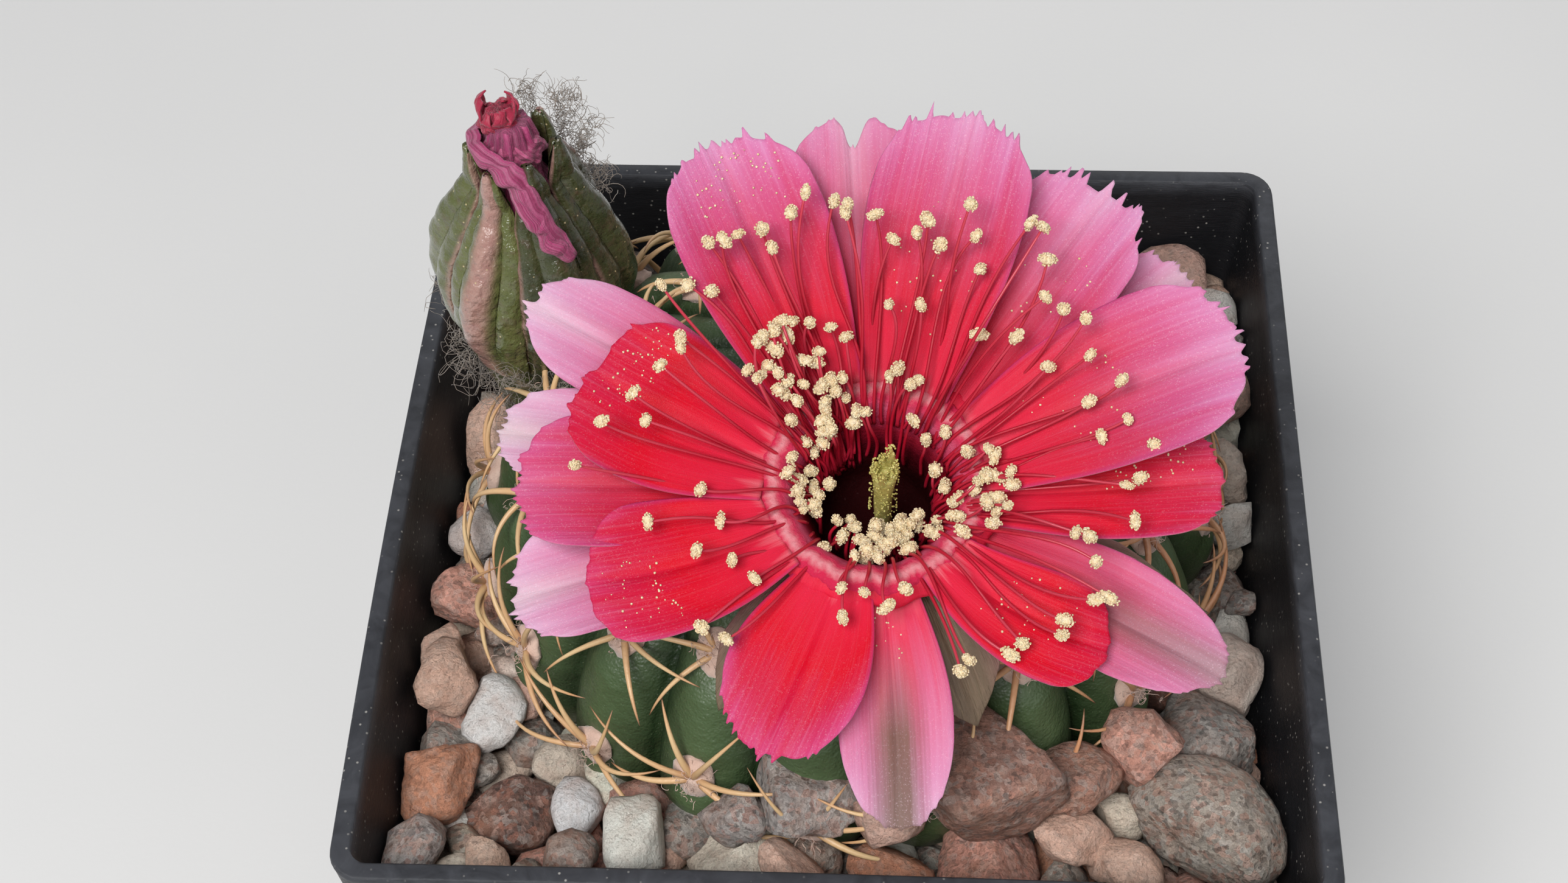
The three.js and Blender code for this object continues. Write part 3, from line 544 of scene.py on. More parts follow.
def make_spent_sepal():
    """Thick glossy closed sepal: green painted lighter on the lit left-hand sepals and darker as painted shade on the
    right-hand ones, some with a pale pink midrib, dusted with pollen.
    """
    m = Nodes("spent_sepal", 0.3, Coat_Weight=0.7, Coat_Roughness=0.16)
    tone, rosy = m.value("tone"), m.value("pale")
    blotch = m.noise(0.32, 5, distortion=0.5)
    fine = m.noise(1.4, 4)
    # Painted light and shade: tone picks a lit light green or a shaded dark green for each sepal.
    light = m.mix(blotch, (0.045, 0.062, 0.012), (0.17, 0.18, 0.06))
    dark = m.mix(blotch, (0.012, 0.018, 0.006), (0.055, 0.06, 0.022))
    green = m.mix(tone, dark, light)
    bruised = m.mix(m.ramp(fine, [(0.5, 0.0), (0.75, 0.5)]), green, (0.10, 0.045, 0.035))
    pink = m.mix(fine, (0.30, 0.11, 0.11), (0.56, 0.36, 0.30))
    both = m.mix(m.math("MULTIPLY", rosy, 0.85), bruised, pink)
    dots = m.cells(1.1)
    dust = m.math("MULTIPLY", m.ramp(dots.outputs["Distance"], [(0.05, 1.0), (0.10, 0.0)]), 0.8)
    m.colour(m.mix(dust, both, (0.62, 0.50, 0.28)))
    m.rough(fine, 0.18, 0.36)
    m.bump([(m.noise(1.1, 3), 0.4), (fine, 0.1)])
    return m.material


def make_ring_pink():
    """The funnel: a frayed pale band on its lip, pink wall turning crimson, then painted shade that darkens it to near
    black in its depth.
    """
    m = Nodes("throat_pink", 0.6, Subsurface_Weight=0.12, Subsurface_Scale=0.001, Specular_IOR_Level=0.08)
    m.shader.inputs["Subsurface Radius"].default_value = (1.0, 0.2, 0.25)
    depth, band = m.value("along"), m.value("across")
    fine = m.noise(2.6, 6, roughness=0.7)
    # Painted shade: the wall darkens with depth into the funnel, to near black at the bottom.
    base = m.ramp(depth, [(0.0, (0.64, 0.025, 0.08)), (0.14, (0.66, 0.10, 0.19)), (0.28, (0.56, 0.045, 0.11)),
                          (0.46, (0.30, 0.008, 0.025)), (0.68, (0.08, 0.001, 0.006)), (1.0, (0.02, 0.0005, 0.001))])
    frayed = m.math("ADD", band, m.math("MULTIPLY", m.math("SUBTRACT", fine, 0.5), 1.1))
    pale = m.ramp(frayed, [(0.15, 0.0), (1.0, 0.75)])
    m.colour(m.mix(pale, base, (0.78, 0.36, 0.38)))
    m.rough(fine, 0.5, 0.7)
    m.bump([(fine, 0.22)])
    return m.material


def make_tube_skin():
    m = Nodes("flower_tube_skin", 0.6)
    blotch = m.noise(0.5, 5)
    m.colour(m.ramp(blotch, [(0.3, (0.05, 0.065, 0.025)), (0.55, (0.13, 0.13, 0.06)), (0.8, (0.26, 0.14, 0.10))]))
    m.bump([(m.noise(0.9, 5), 0.5), (m.noise(4, 3), 0.08)])
    return m.material


def make_filament():
    m = Nodes("filament", 0.35, Subsurface_Weight=0.1, Subsurface_Scale=0.0005)
    along = m.value("along")
    sheen = m.noise(2.0, 3)
    base = m.ramp(along, [(0.0, (0.40, 0.01, 0.03)), (0.5, (0.36, 0.003, 0.015)), (1.0, (0.50, 0.05, 0.08))])
    m.colour(m.mix(m.math("MULTIPLY", sheen, 0.3), base, (0.6, 0.02, 0.06)))
    m.bump([(sheen, 0.02)])
    return m.material


def make_pollen():
    m = Nodes("anther_pollen", 0.8, Subsurface_Weight=0.1, Subsurface_Scale=0.0005)
    grain = m.noise(4.5, 4)
    m.colour(m.ramp(grain, [(0.25, (0.62, 0.42, 0.20)), (0.5, (0.80, 0.64, 0.40)), (0.8, (0.88, 0.76, 0.56))]))
    m.bump([(m.cells(9.0).outputs["Distance"], 0.06)])
    return m.material


def make_stigma():
    m = Nodes("stigma", 0.55, Subsurface_Weight=0.15, Subsurface_Scale=0.0008)
    mottled = m.noise(2.0, 4)
    m.colour(m.ramp(mottled, [(0.3, (0.36, 0.30, 0.07)), (0.55, (0.55, 0.48, 0.14)), (0.8, (0.72, 0.62, 0.30))]))
    m.bump([(m.noise(6.0, 4), 0.08)])
    return m.material


def make_withered():
    m = Nodes("withered_petal", 0.5, Sheen_Weight=0.2)
    along, across = m.value("along"), m.value("across")
    place = m.combine(m.math("MULTIPLY", across, 14.0), m.math("MULTIPLY", along, 3.0), along)
    veins = m.noise(1.0, 5, place)
    crimson = m.ramp(veins, [(0.3, (0.16, 0.004, 0.018)), (0.5, (0.44, 0.012, 0.055)), (0.8, (0.62, 0.06, 0.15))])
    faded = m.ramp(veins, [(0.3, (0.18, 0.012, 0.05)), (0.5, (0.38, 0.035, 0.14)), (0.8, (0.52, 0.19, 0.29))])
    m.colour(m.mix(m.ramp(along, [(0.3, 0.0), (0.8, 1.0)]), crimson, faded))
    m.rough(veins, 0.35, 0.65)
    m.bump([(veins, 0.3), (m.noise(2.5, 5), 0.12)])
    return m.material


def make_floor_paper():
    m = Nodes("pale_floor", 0.85)
    m.colour(m.mix(m.noise(0.02, 3), (0.68, 0.675, 0.66), (0.72, 0.71, 0.695)))
    m.bump([(m.noise(1.5, 4), 0.02)])
    return m.material


MATERIALS = {
    "pot": make_pot_plastic(), "soil": make_soil(), "gravel": make_gravel(), "skin": make_skin(),
    "spine": make_spine(), "wool": make_wool("areole_wool", (0.78, 0.60, 0.50), (0.46, 0.27, 0.20)),
    "grey_wool": make_wool("grey_wool", (0.42, 0.36, 0.30), (0.10, 0.07, 0.05)),
    "tepal": make_tepal(), "sepal": make_sepal("sepal", 0.5), "spent_sepal": make_spent_sepal(),
    "ring": make_ring_pink(), "tube": make_tube_skin(), "filament": make_filament(), "pollen": make_pollen(),
    "stigma": make_stigma(), "withered": make_withered(),
}


# ---------- pot ----------
def rounded_square(side, corner, z, bow=0.0, per_corner=7, per_side=14):
    """One ring round the pot; bow pushes the middle of the -X side out."""
    h = side / 2
    corner = min(corner, h)
    ring = []
    for quarter in range(4):
        turn = quarter * math.pi / 2 - math.pi / 2
        middle = np.array([math.cos(turn + math.pi / 4), math.sin(turn + math.pi / 4)]) * (h - corner) * math.sqrt(2)
        for i in range(per_corner + 1):
            angle = turn + (i / per_corner) * math.pi / 2
            ring.append([middle[0] + corner * math.cos(angle), middle[1] + corner * math.sin(angle)])
        here, step = np.array(ring[-1]), turn + math.pi / 2
        ahead = np.array([math.cos(step + math.pi / 2), math.sin(step + math.pi / 2)])
        length = 2 * (h - corner)
        for i in range(1, per_side):
            ring.append((here + ahead * length * i / per_side).tolist())
    ring = np.array(ring)
    share = np.cos(np.clip(ring[:, 1] / h, -1, 1) * math.pi / 2)
    ring[:, 0] -= bow * share * (ring[:, 0] < -h * 0.9)
    ring[:, 1] += 0.5 * bow * np.cos(np.clip(ring[:, 0] / h, -1, 1) * math.pi / 2) * (ring[:, 1] < -h * 0.9)
    return np.column_stack([ring, np.full(len(ring), z)])


def cavity_side(z):
    share = (z - FLOOR_Z) / (RIM_Z - FLOOR_Z)
    return (BASE_SIDE - 2 * WALL) + share * (POT_SIDE - 2 * RIM_WALL - BASE_SIDE + 2 * WALL)


def build_pot():
    foot = RIM_Z - BAND_HEIGHT
    bow = 0.5
    rings = [(BASE_SIDE - 1.6, 0.0, 1.8), (BASE_SIDE - 0.5, 0.15, 2.2), (BASE_SIDE, 0.8, 2.5)]
    lower_top = cavity_side(foot) + 2 * WALL
    for z in np.linspace(4, foot - 0.4, 9):
        rings.append((BASE_SIDE + (lower_top - BASE_SIDE) * z / foot, z, 2.5))
    rings += [(lower_top + 0.5, foot - 0.1, 2.5), (POT_SIDE - 1.5, foot, 2.5), (POT_SIDE - 1.1, foot + 0.15, 2.5)]
    for z in np.linspace(foot + 0.6, RIM_Z - 0.6, 5):
        rings.append((POT_SIDE - 1 + (z - foot) / BAND_HEIGHT * 0.95, z, 2.5))
    rings += [(POT_SIDE - 0.05, RIM_Z - 0.3, 2.5), (POT_SIDE - 0.25, RIM_Z - 0.07, 2.4), (POT_SIDE - 0.6, RIM_Z, 2.3)]
    inner = POT_SIDE - 2 * RIM_WALL
    rings += [(inner + 0.5, RIM_Z, 1.4), (inner + 0.15, RIM_Z - 0.08, 1.3), (inner - 0.05, RIM_Z - 0.4, 1.2)]
    for z in np.linspace(RIM_Z - 1.5, FLOOR_Z + 1.2, 12):
        rings.append((cavity_side(z), z, 1.2))
    rings += [(cavity_side(FLOOR_Z) - 0.3, FLOOR_Z + 0.3, 1.2), (cavity_side(FLOOR_Z) - 1.2, FLOOR_Z, 1.2)]
    stack = [rounded_square(side, corner, z, bow * max(0, (z - 25) / 40)) for side, z, corner in rings]
    points, faces = closed_stack(stack)
    shape = Shape()
    # Share of the painted light on the rim: full on its top, faint below.
    on_rim = np.clip((points[:, 2] - (RIM_Z - 1.0)) / 0.6, 0.12, 1)
    shape.add(points, faces, rim=on_rim[:, None])
    pot = shape.make("pot_shell", [MATERIALS["pot"]])
    place = BASE_SIDE * 0.28
    drills = Shape()
    for sx, sy in ((-1, -1), (1, -1), (1, 1), (-1, 1)):
        drill, drill_faces = lathe([(DRAIN_RADIUS, -2), (DRAIN_RADIUS, 4)], 40)
        drills.add(drill + [sx * place, sy * place, 0], drill_faces)
    cutter = drills.make("drills", [])
    cut = pot.modifiers.new("drain", "BOOLEAN")
    cut.operation, cut.solver, cut.object = "DIFFERENCE", "EXACT", cutter
    apply_modifiers(pot)
    bpy.data.objects.remove(cutter)
    sharpen(pot, 50)
    declare(pot, "pot_plastic", "pot")


def apply_modifiers(thing):
    graph = bpy.context.evaluated_depsgraph_get()
    mesh = bpy.data.meshes.new_from_object(thing.evaluated_get(graph))
    thing.modifiers.clear()
    thing.data = mesh


def sharpen(thing, degrees):
    """Edges sharper than this angle keep a crease in the shading."""
    work = bmesh.new()
    work.from_mesh(thing.data)
    for edge in work.edges:
        edge.smooth = not (len(edge.link_faces) == 2 and edge.calc_face_angle(0) > math.radians(degrees))
    work.to_mesh(thing.data)
    work.free()


def build_soil():
    rng = np.random.default_rng(4)
    n = 60
    line = np.linspace(-1, 1, n)
    half_top = cavity_side(SOIL_TOP) / 2 - 0.35
    x, y = np.meshgrid(line, line)
    top = np.column_stack([x.ravel() * half_top, y.ravel() * half_top, np.full(n * n, SOIL_TOP)])
    top[:, 2] += 0.5 * rough(top, 0.45) + 0.25 * rough(top, 1.4) - 0.3 + 0.1 * rng.random(len(top))
    low = FLOOR_Z + 0.3
    half_low = cavity_side(low) / 2 - 0.35
    bottom = np.column_stack([x.ravel() * half_low, y.ravel() * half_low, np.full(n * n, low)])
    faces = grid_faces(n, n)
    edge = np.concatenate([np.arange(n), np.arange(2, n) * n - 1 + 0, [n * n - 1],
                           n * n - 2 - np.arange(n - 1), np.arange(n - 2, 0, -1) * n])
    edge = np.array(list(dict.fromkeys(edge.tolist())))
    ahead = np.roll(edge, -1)
    walls = np.stack([edge + n * n, ahead + n * n, ahead, edge], -1)
    shape = Shape()
    shape.add(np.vstack([top, bottom]), [faces, faces[:, ::-1] + n * n, walls])
    soil = shape.make("potting_soil", [MATERIALS["soil"]])
    declare(soil, "soil", "soil")


# ---------- gravel ----------
ROCKS = {  # tint, and how grainy it looks
    "pink": ((0.66, 0.34, 0.26), 0.6), "salmon": ((0.84, 0.54, 0.42), 0.3), "orange": ((0.68, 0.30, 0.18), 0.4),
    "cream": ((0.92, 0.77, 0.63), 0.2), "white": ((0.96, 0.91, 0.85), 0.08), "grey": ((0.36, 0.33, 0.30), 0.8),
    "greygreen": ((0.35, 0.31, 0.26), 0.85), "dark": ((0.19, 0.10, 0.08), 0.8), "brown": ((0.38, 0.20, 0.15), 0.7),
}
# Stones lying on the others against the body: place, radius, rock
RAISED_STONES = [
    (10.4, -25.2, 64.6, 4.9, "brown"), (-1.6, -25.6, 62.6, 3.5, "grey"), (17.4, -24.2, 62.4, 2.9, "brown"),
    (22.0, -20.6, 62.0, 2.7, "pink"), (4.2, -27.4, 62.4, 2.2, "salmon"), (-7.0, -27.0, 61.6, 2.4, "grey"),
]
# Stones that catch the eye: x, y, radius, rock, and the CAD pebble it stands for
BIG_STONES = [
    (-24.4, -24.2, 3.7, "dark", "pebble_1"), (-14.6, -28.3, 2.7, "white", "pebble_2"),
    (-7.1, -28.5, 3.2, "cream", "pebble_3"), (11.0, -28.1, 4.4, "pink", "pebble_4"),
    (26.3, -25.2, 4.5, "greygreen", "pebble_5"), (-29.3, -6.2, 3.0, "pink", "pebble_6"),
    (26.0, 27.4, 3.6, "salmon", "pebble_7"),
    (-30.2, -22.4, 3.0, "orange", None), (-2.0, -28.4, 2.7, "greygreen", None), (27.6, -17.8, 3.9, "grey", None),
    (31.0, -22.4, 2.3, "white", None), (31.0, -29.4, 2.5, "cream", None), (17.2, -27.0, 2.7, "salmon", None),
    (20.8, -28.6, 2.4, "salmon", None), (-27.3, -17.0, 2.6, "white", None), (-31.0, -15.4, 2.8, "salmon", None),
    (-29.8, -10.4, 3.0, "salmon", None), (-31.2, 0.4, 2.0, "white", None), (-30.6, 4.2, 2.4, "salmon", None),
    (-29.8, 11.4, 3.9, "salmon", None), (-30.6, -3.0, 2.6, "grey", None), (29.2, -11.6, 3.3, "cream", None),
    (31.0, -5.6, 2.1, "white", None), (30.4, -1.0, 2.6, "grey", None), (31.0, 3.4, 2.0, "white", None),
    (30.0, 7.8, 2.8, "cream", None), (30.8, 14.0, 2.6, "salmon", None), (29.4, 20.4, 3.0, "grey", None),
    (-18.8, -29.8, 2.3, "grey", None), (-30.4, -29.0, 2.4, "grey", None), (-25.4, -30.2, 2.2, "salmon", None),
    (4.2, -29.6, 2.6, "orange", None), (15.6, -31.0, 1.9, "grey", None), (-10.8, -25.6, 2.2, "grey", None),
    (-29.8, 25.0, 2.8, "salmon", None), (-20.0, 29.6, 2.9, "grey", None), (-9.0, 31.0, 2.0, "cream", None),
    (16.0, 30.4, 2.2, "orange", None), (19.4, -22.6, 2.6, "brown", None), (23.2, -20.6, 2.5, "brown", None),
]


def scatter_gravel():
    """Drops round stones into the ring between body and pot until they rest; returns places, radii, rocks."""
    rng = np.random.default_rng(21)
    places, radii, rocks, names = [], [], [], []
    for x, y, radius, rock, node in BIG_STONES:
        places.append([x, y, RIM_Z - 4.6 - radius * 0.25])
        radii.append(radius)
        rocks.append(rock)
        names.append(node)
    kinds = ["pink", "salmon", "orange", "cream", "white", "grey", "greygreen", "dark", "brown"]
    weights = np.array([0.16, 0.2, 0.1, 0.17, 0.14, 0.1, 0.07, 0.02, 0.04])
    half = cavity_side(RIM_Z - 6) / 2
    for count, small, large, low, high in ((112, 2.0, 3.0, 1.0, 9), (190, 1.3, 2.1, 1.0, 11), (90, 0.8, 1.3, 6, 12)):
        made = 0
        while made < count:
            x, y = rng.uniform(-half, half, 2)
            if math.hypot(x - BODY_CENTRE[0], y - BODY_CENTRE[1]) < BODY_RADIUS * 0.93:
                continue
            places.append([x, y, SOIL_TOP + rng.uniform(low, high)])
            radii.append(rng.uniform(small, large))
            rocks.append(rng.choice(kinds, p=weights / weights.sum()))
            names.append(None)
            made += 1
    places, radii = np.array(places), np.array(radii)
    anchor = places.copy()
    fixed = np.arange(len(BIG_STONES))
    reach = (radii[:, None] + radii[None, :]) * 0.9
    np.fill_diagonal(reach, 0)
    share = radii[None, :] ** 3 / (radii[:, None] ** 3 + radii[None, :] ** 3)
    for step in range(170):
        places[:, 2] -= 0.10 if step < 130 else 0.03
        places[fixed, :2] += 0.3 * (anchor[fixed, :2] - places[fixed, :2])
        apart = places[:, None] - places[None, :]
        distance = np.sqrt((apart ** 2).sum(-1)) + 1e-6
        overlap = np.maximum(reach - distance, 0)
        places += 0.45 * (apart / distance[..., None] * (overlap * share)[..., None]).sum(1)
        wall = (cavity_side(np.clip(places[:, 2], SOIL_TOP, RIM_Z)) / 2 - radii * 0.95)
        places[:, 0] = np.clip(places[:, 0], -wall, wall)
        places[:, 1] = np.clip(places[:, 1], -wall, wall)
        places[:, 2] = np.maximum(places[:, 2], SOIL_TOP + radii * 0.5)
        out = places[:, :2] - BODY_CENTRE[:2]
        off = np.sqrt((out ** 2).sum(-1)) + 1e-6
        lift = np.clip((places[:, 2] - BODY_CENTRE[2]) / np.where(places[:, 2] > BODY_CENTRE[2], BODY_RISE, BODY_DROP), -1, 1)
        skin = BODY_RADIUS * 0.965 * np.sqrt(1 - lift ** 2) + radii * 0.8
        push = np.maximum(skin - off, 0)
        places[:, :2] += out / off[:, None] * push[:, None]
    for x, y, z, radius, rock in RAISED_STONES:
        places = np.vstack([places, [x, y, z]])
        radii = np.append(radii, radius)
        rocks.append(rock)
        names.append(None)
    return places, radii, rocks, names


def pebble_points(radius, level, rng):
    """A worn stone: a ball pressed in by soft random planes, with bumps."""
    points, faces = ball(level)
    normals = unit(rng.normal(size=(14, 3)))
    depths = rng.uniform(0.66, 1.0, 14)
    sharp = rng.uniform(14, 34)
    facing = np.maximum(points @ normals.T, 0) / depths
    reach = (facing ** sharp).sum(1) ** (-1 / sharp)
    stone = points * np.minimum(reach, 1.25)[:, None]
    seed = rng.uniform(0, 50)
    stone += points * (0.09 * rough(points, 1.6, seed) + 0.055 * rough(points, 4.2, seed))[:, None]
    stone *= np.array([rng.uniform(1.05, 1.3), rng.uniform(0.9, 1.05), rng.uniform(0.72, 0.9)])
    tilt = rng.normal(0, 0.3, 2)
    turn = rng.uniform(0, 2 * math.pi)
    c, s = math.cos(turn), math.sin(turn)
    spin = np.array([[c, -s, 0], [s, c, 0], [0, 0, 1]])
    c, s = math.cos(tilt[0]), math.sin(tilt[0])
    lean = np.array([[1, 0, 0], [0, c, -s], [0, s, c]])
    return stone @ (lean @ spin) * radius, faces


def build_gravel():
    rng = np.random.default_rng(8)
    places, radii, rocks, names = scatter_gravel()
    groups = {}
    for place, radius, rock, name in zip(places, radii, rocks, names):
        level = 4 if radius > 2.9 else 3 if radius > 1.25 else 2
        stone, faces = pebble_points(radius, level, rng)
        stone = stone + place
        base, grainy = ROCKS[rock]
        tint = np.clip(np.array(base) * rng.uniform(0.78, 1.22) * rng.uniform(0.97, 1.03, 3), 0, 0.9)
        wall = cavity_side(min(RIM_Z, place[2])) / 2 - 0.15
        stone[:, :2] = np.clip(stone[:, :2], -wall, wall)
        key = name or ("big_stones" if radius > 2.15 else rock)
        shape = groups.setdefault(key, Shape())
        shape.add(stone, faces, tint=tint[None, :], speckle=grainy)
    bed = []
    for key, shape in groups.items():
        is_pebble = key.startswith("pebble_")
        thing = shape.make(key + "_stone" if is_pebble else "gravel_" + key, [MATERIALS["gravel"]])
        if is_pebble:
            declare(thing, "gravel", key)
        else:
            declare(thing, "gravel", "gravel_bed")
            bed.append(thing)


# ---------- cactus body ----------
def skin_point(azimuth, t, scale=1.0):
    out = np.array([math.cos(azimuth), math.sin(azimuth), 0])
    point = BODY_CENTRE + out * BODY_RADIUS * math.cos(t) * scale + np.array([0, 0, BODY_RISE * math.sin(t) * scale])
    normal = out * BODY_RISE * math.cos(t) + np.array([0, 0, BODY_RADIUS * math.sin(t)])
    return point, unit(normal)


EVEN_AREOLES = [math.radians(a) for a in (12, 38, 60)]
ODD_AREOLES = [math.radians(a) for a in (5, 33, 55)]


def areole_angle(rib, row):
    return (ODD_AREOLES if rib % 2 else EVEN_AREOLES)[row]


def build_body():
    columns = RIBS * 24
    azimuths = FIRST_RIB + np.arange(columns) / columns * 2 * math.pi
    angles = np.radians(np.concatenate([np.linspace(-66, 0, 22)[:-1], np.linspace(0, 89, 92)]))
    wave = np.abs(np.cos(RIBS / 2 * (azimuths - FIRST_RIB)))
    rings, crest, corky = [], [], []
    root = [(0.8 * 5, -BODY_DROP - 7.2), (5, -BODY_DROP - 3), (5.4, -BODY_DROP - 0.5)]
    for radius, height in root:
        rings.append(np.stack([radius * np.cos(azimuths), radius * np.sin(azimuths), np.full(columns, height)], -1))
        crest.append(np.zeros(columns))
        corky.append(np.ones(columns))
    rib_of = np.rint((azimuths - FIRST_RIB) / (2 * math.pi / RIBS)).astype(int) % RIBS
    off_crest = (azimuths - FIRST_RIB) - np.rint((azimuths - FIRST_RIB) / (2 * math.pi / RIBS)) * 2 * math.pi / RIBS
    for t in angles:
        height = BODY_RISE if t > 0 else BODY_DROP
        fade = min(1.0, max(0.0, math.cos(t) / 0.5))
        fade = fade * fade * (3 - 2 * fade)
        sway = 0.03 * np.sin(9 * t + azimuths * 5)
        shaped = np.clip(np.abs(np.cos(RIBS / 2 * (azimuths - FIRST_RIB) + sway)), 0, 1) ** 0.55
        k = 1 - FURROW_DEPTH * fade * (1 - shaped)
        across = off_crest * BODY_RADIUS * math.cos(t)
        for row in range(3):
            seat = np.array([areole_angle(rib, row) for rib in range(RIBS)])[rib_of]
            down = (t - seat) * (BODY_RADIUS + BODY_RISE) / 2
            dent = np.exp(-(across ** 2 + down ** 2) / 2.6)
            chin = np.exp(-(across ** 2 / 7 + (down + 3.2) ** 2 / 5))
            k = k - 0.022 * dent + 0.020 * chin
        radius = BODY_RADIUS * math.cos(t) * k
        ring = np.stack([radius * np.cos(azimuths), radius * np.sin(azimuths), height * math.sin(t) * (k * 0.3 + 0.7)], -1)
        rings.append(ring)
        # How near the rib crest each point lies; the skin material paints its highlight there.
        crest.append(shaped * fade)
        corky.append(np.full(columns, max(0.0, -math.sin(t)) ** 0.5))
    points, faces = closed_stack(rings)
    points = points + BODY_CENTRE
    points[-1, 2] = points[-columns:-2, 2].mean()
    shape = Shape()
    shape.add(points, faces, crest=np.append(np.concatenate(crest), [0, 0])[:, None],
              corky=np.append(np.concatenate(corky), [1, 0])[:, None])
    declare(shape.make("cactus_globe", [MATERIALS["skin"]]), "cactus_skin", "cactus_body")


def add_fluff(shape, slot, centre, out, rng, count, length, spread, thickness=0.035, lift=0.5):
    """Curly wool fibres growing from a pad."""
    for _ in range(count):
        heading = unit(out * lift + rng.normal(0, 0.6, 3))
        place = centre + rng.normal(0, spread * 0.35, 3)
        step = length * rng.uniform(0.4, 1.1) / 7
        curl = rng.normal(0, 0.55, 3)
        path = [place]
        for _ in range(7):
            heading = unit(heading + np.cross(heading, curl) + rng.normal(0, 0.25, 3))
            path.append(path[-1] + heading * step)
        points, faces = tube(path, np.linspace(thickness, thickness * 0.5, 8), 3)
        shape.add(points, faces, slot)


def add_areole(shape, azimuth, t, rng, warm, angles, length):
    point, out = skin_point(azimuth, t, 0.985)
    side = np.array([-math.sin(azimuth), math.cos(azimuth), 0])
    uphill = np.cross(out, side)
    uphill = uphill if uphill[2] > 0 else -uphill
    ball_points, ball_faces = ball(3)
    lumps = 1 + 0.22 * rough(ball_points, 2.2, azimuth * 9)
    pad = ball_points * lumps[:, None]
    pad = pad[:, :1] * side * 1.6 + pad[:, 1:2] * uphill * 1.9 + pad[:, 2:] * out * 0.75
    shape.add(pad + point + out * 0.25, ball_faces, 1)
    add_fluff(shape, 1, point + out * 0.45, out, rng, 80, 1.7, 1.9)
    root = point + out * 0.5
    for angle in angles:
        turn = math.radians(angle + rng.normal(0, 5))
        along = side * math.cos(turn) + uphill * math.sin(turn)
        size = length * rng.uniform(0.8, 1.15)
        rise = rng.uniform(0.22, 0.4)
        droop = rng.uniform(-0.08, 0.14)
        sweep = np.cross(along, out) * rng.normal(0, 0.07) * size
        path = bezier(root, root + along * size * 0.5 + out * size * rise + sweep, root + along * size * 0.97 + out * size * droop, 15)
        s = np.linspace(0, 1, 15)
        radii = 0.27 * (1 - s) ** 0.65 + 0.02
        radii[0] = 0.36
        points, faces = tube(path, radii * rng.uniform(0.85, 1.1), 8)
        ends = np.append(np.repeat(s, 8), [0, 1])
        shape.add(points, faces, 0, along=ends[:, None], warm=min(1, max(0, warm + rng.normal(0, 0.14))))


def build_spines():
    """One piece for each cluster in the frame, and one for the areoles between them."""
    rng = np.random.default_rng(14)
    cad_clusters = {}
    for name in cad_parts:
        if name.startswith("spine_cluster"):
            low, high = box_mm(name)
            cad_clusters[name] = (low + high) / 2
    low_angles = (-12, 22, 62, 118, 158, 192)
    high_angles = (-54, -4, 48, 132, 184, 234)
    others = [Shape(), Shape(), Shape()]
    for rib in range(RIBS):
        azimuth = FIRST_RIB + rib * 2 * math.pi / RIBS
        for row in range(3):
            t = areole_angle(rib, row)
            point, out = skin_point(azimuth, t)
            near = {n: np.linalg.norm(c - point - out * 1.5) for n, c in cad_clusters.items()}
            name = min(near, key=near.get) if near else None
            stands_for = name if name and near[name] < 5.5 else None
            if stands_for:
                cad_clusters.pop(name)
            under_flower = np.linalg.norm((point - FLOWER_CENTRE)[:2] - [0, 2.2]) < 11.5 and row > 0
            under_spent = np.linalg.norm((point - SPENT_PLACE)[:2]) < 6.5
            if (under_flower or under_spent) and not stands_for:
                continue
            warm = 0.85 if math.cos(azimuth) > 0.3 else 0.28
            shape = Shape() if stands_for else others[row]
            angles = low_angles if row == 0 else high_angles
            length = (8.3, 8.0, 5.2)[row]
            add_areole(shape, azimuth, t, rng, min(1, max(0, warm + rng.normal(0, 0.1))), angles, length)
            if stands_for:
                thing = shape.make(stands_for + "_spines", [MATERIALS["spine"], MATERIALS["wool"]])
                declare(thing, "spine", stands_for)
    for row, shape in enumerate(others):
        declare(shape.make(f"spines_between_{row + 1}", [MATERIALS["spine"], MATERIALS["wool"]]), "spine")
    return cad_clusters


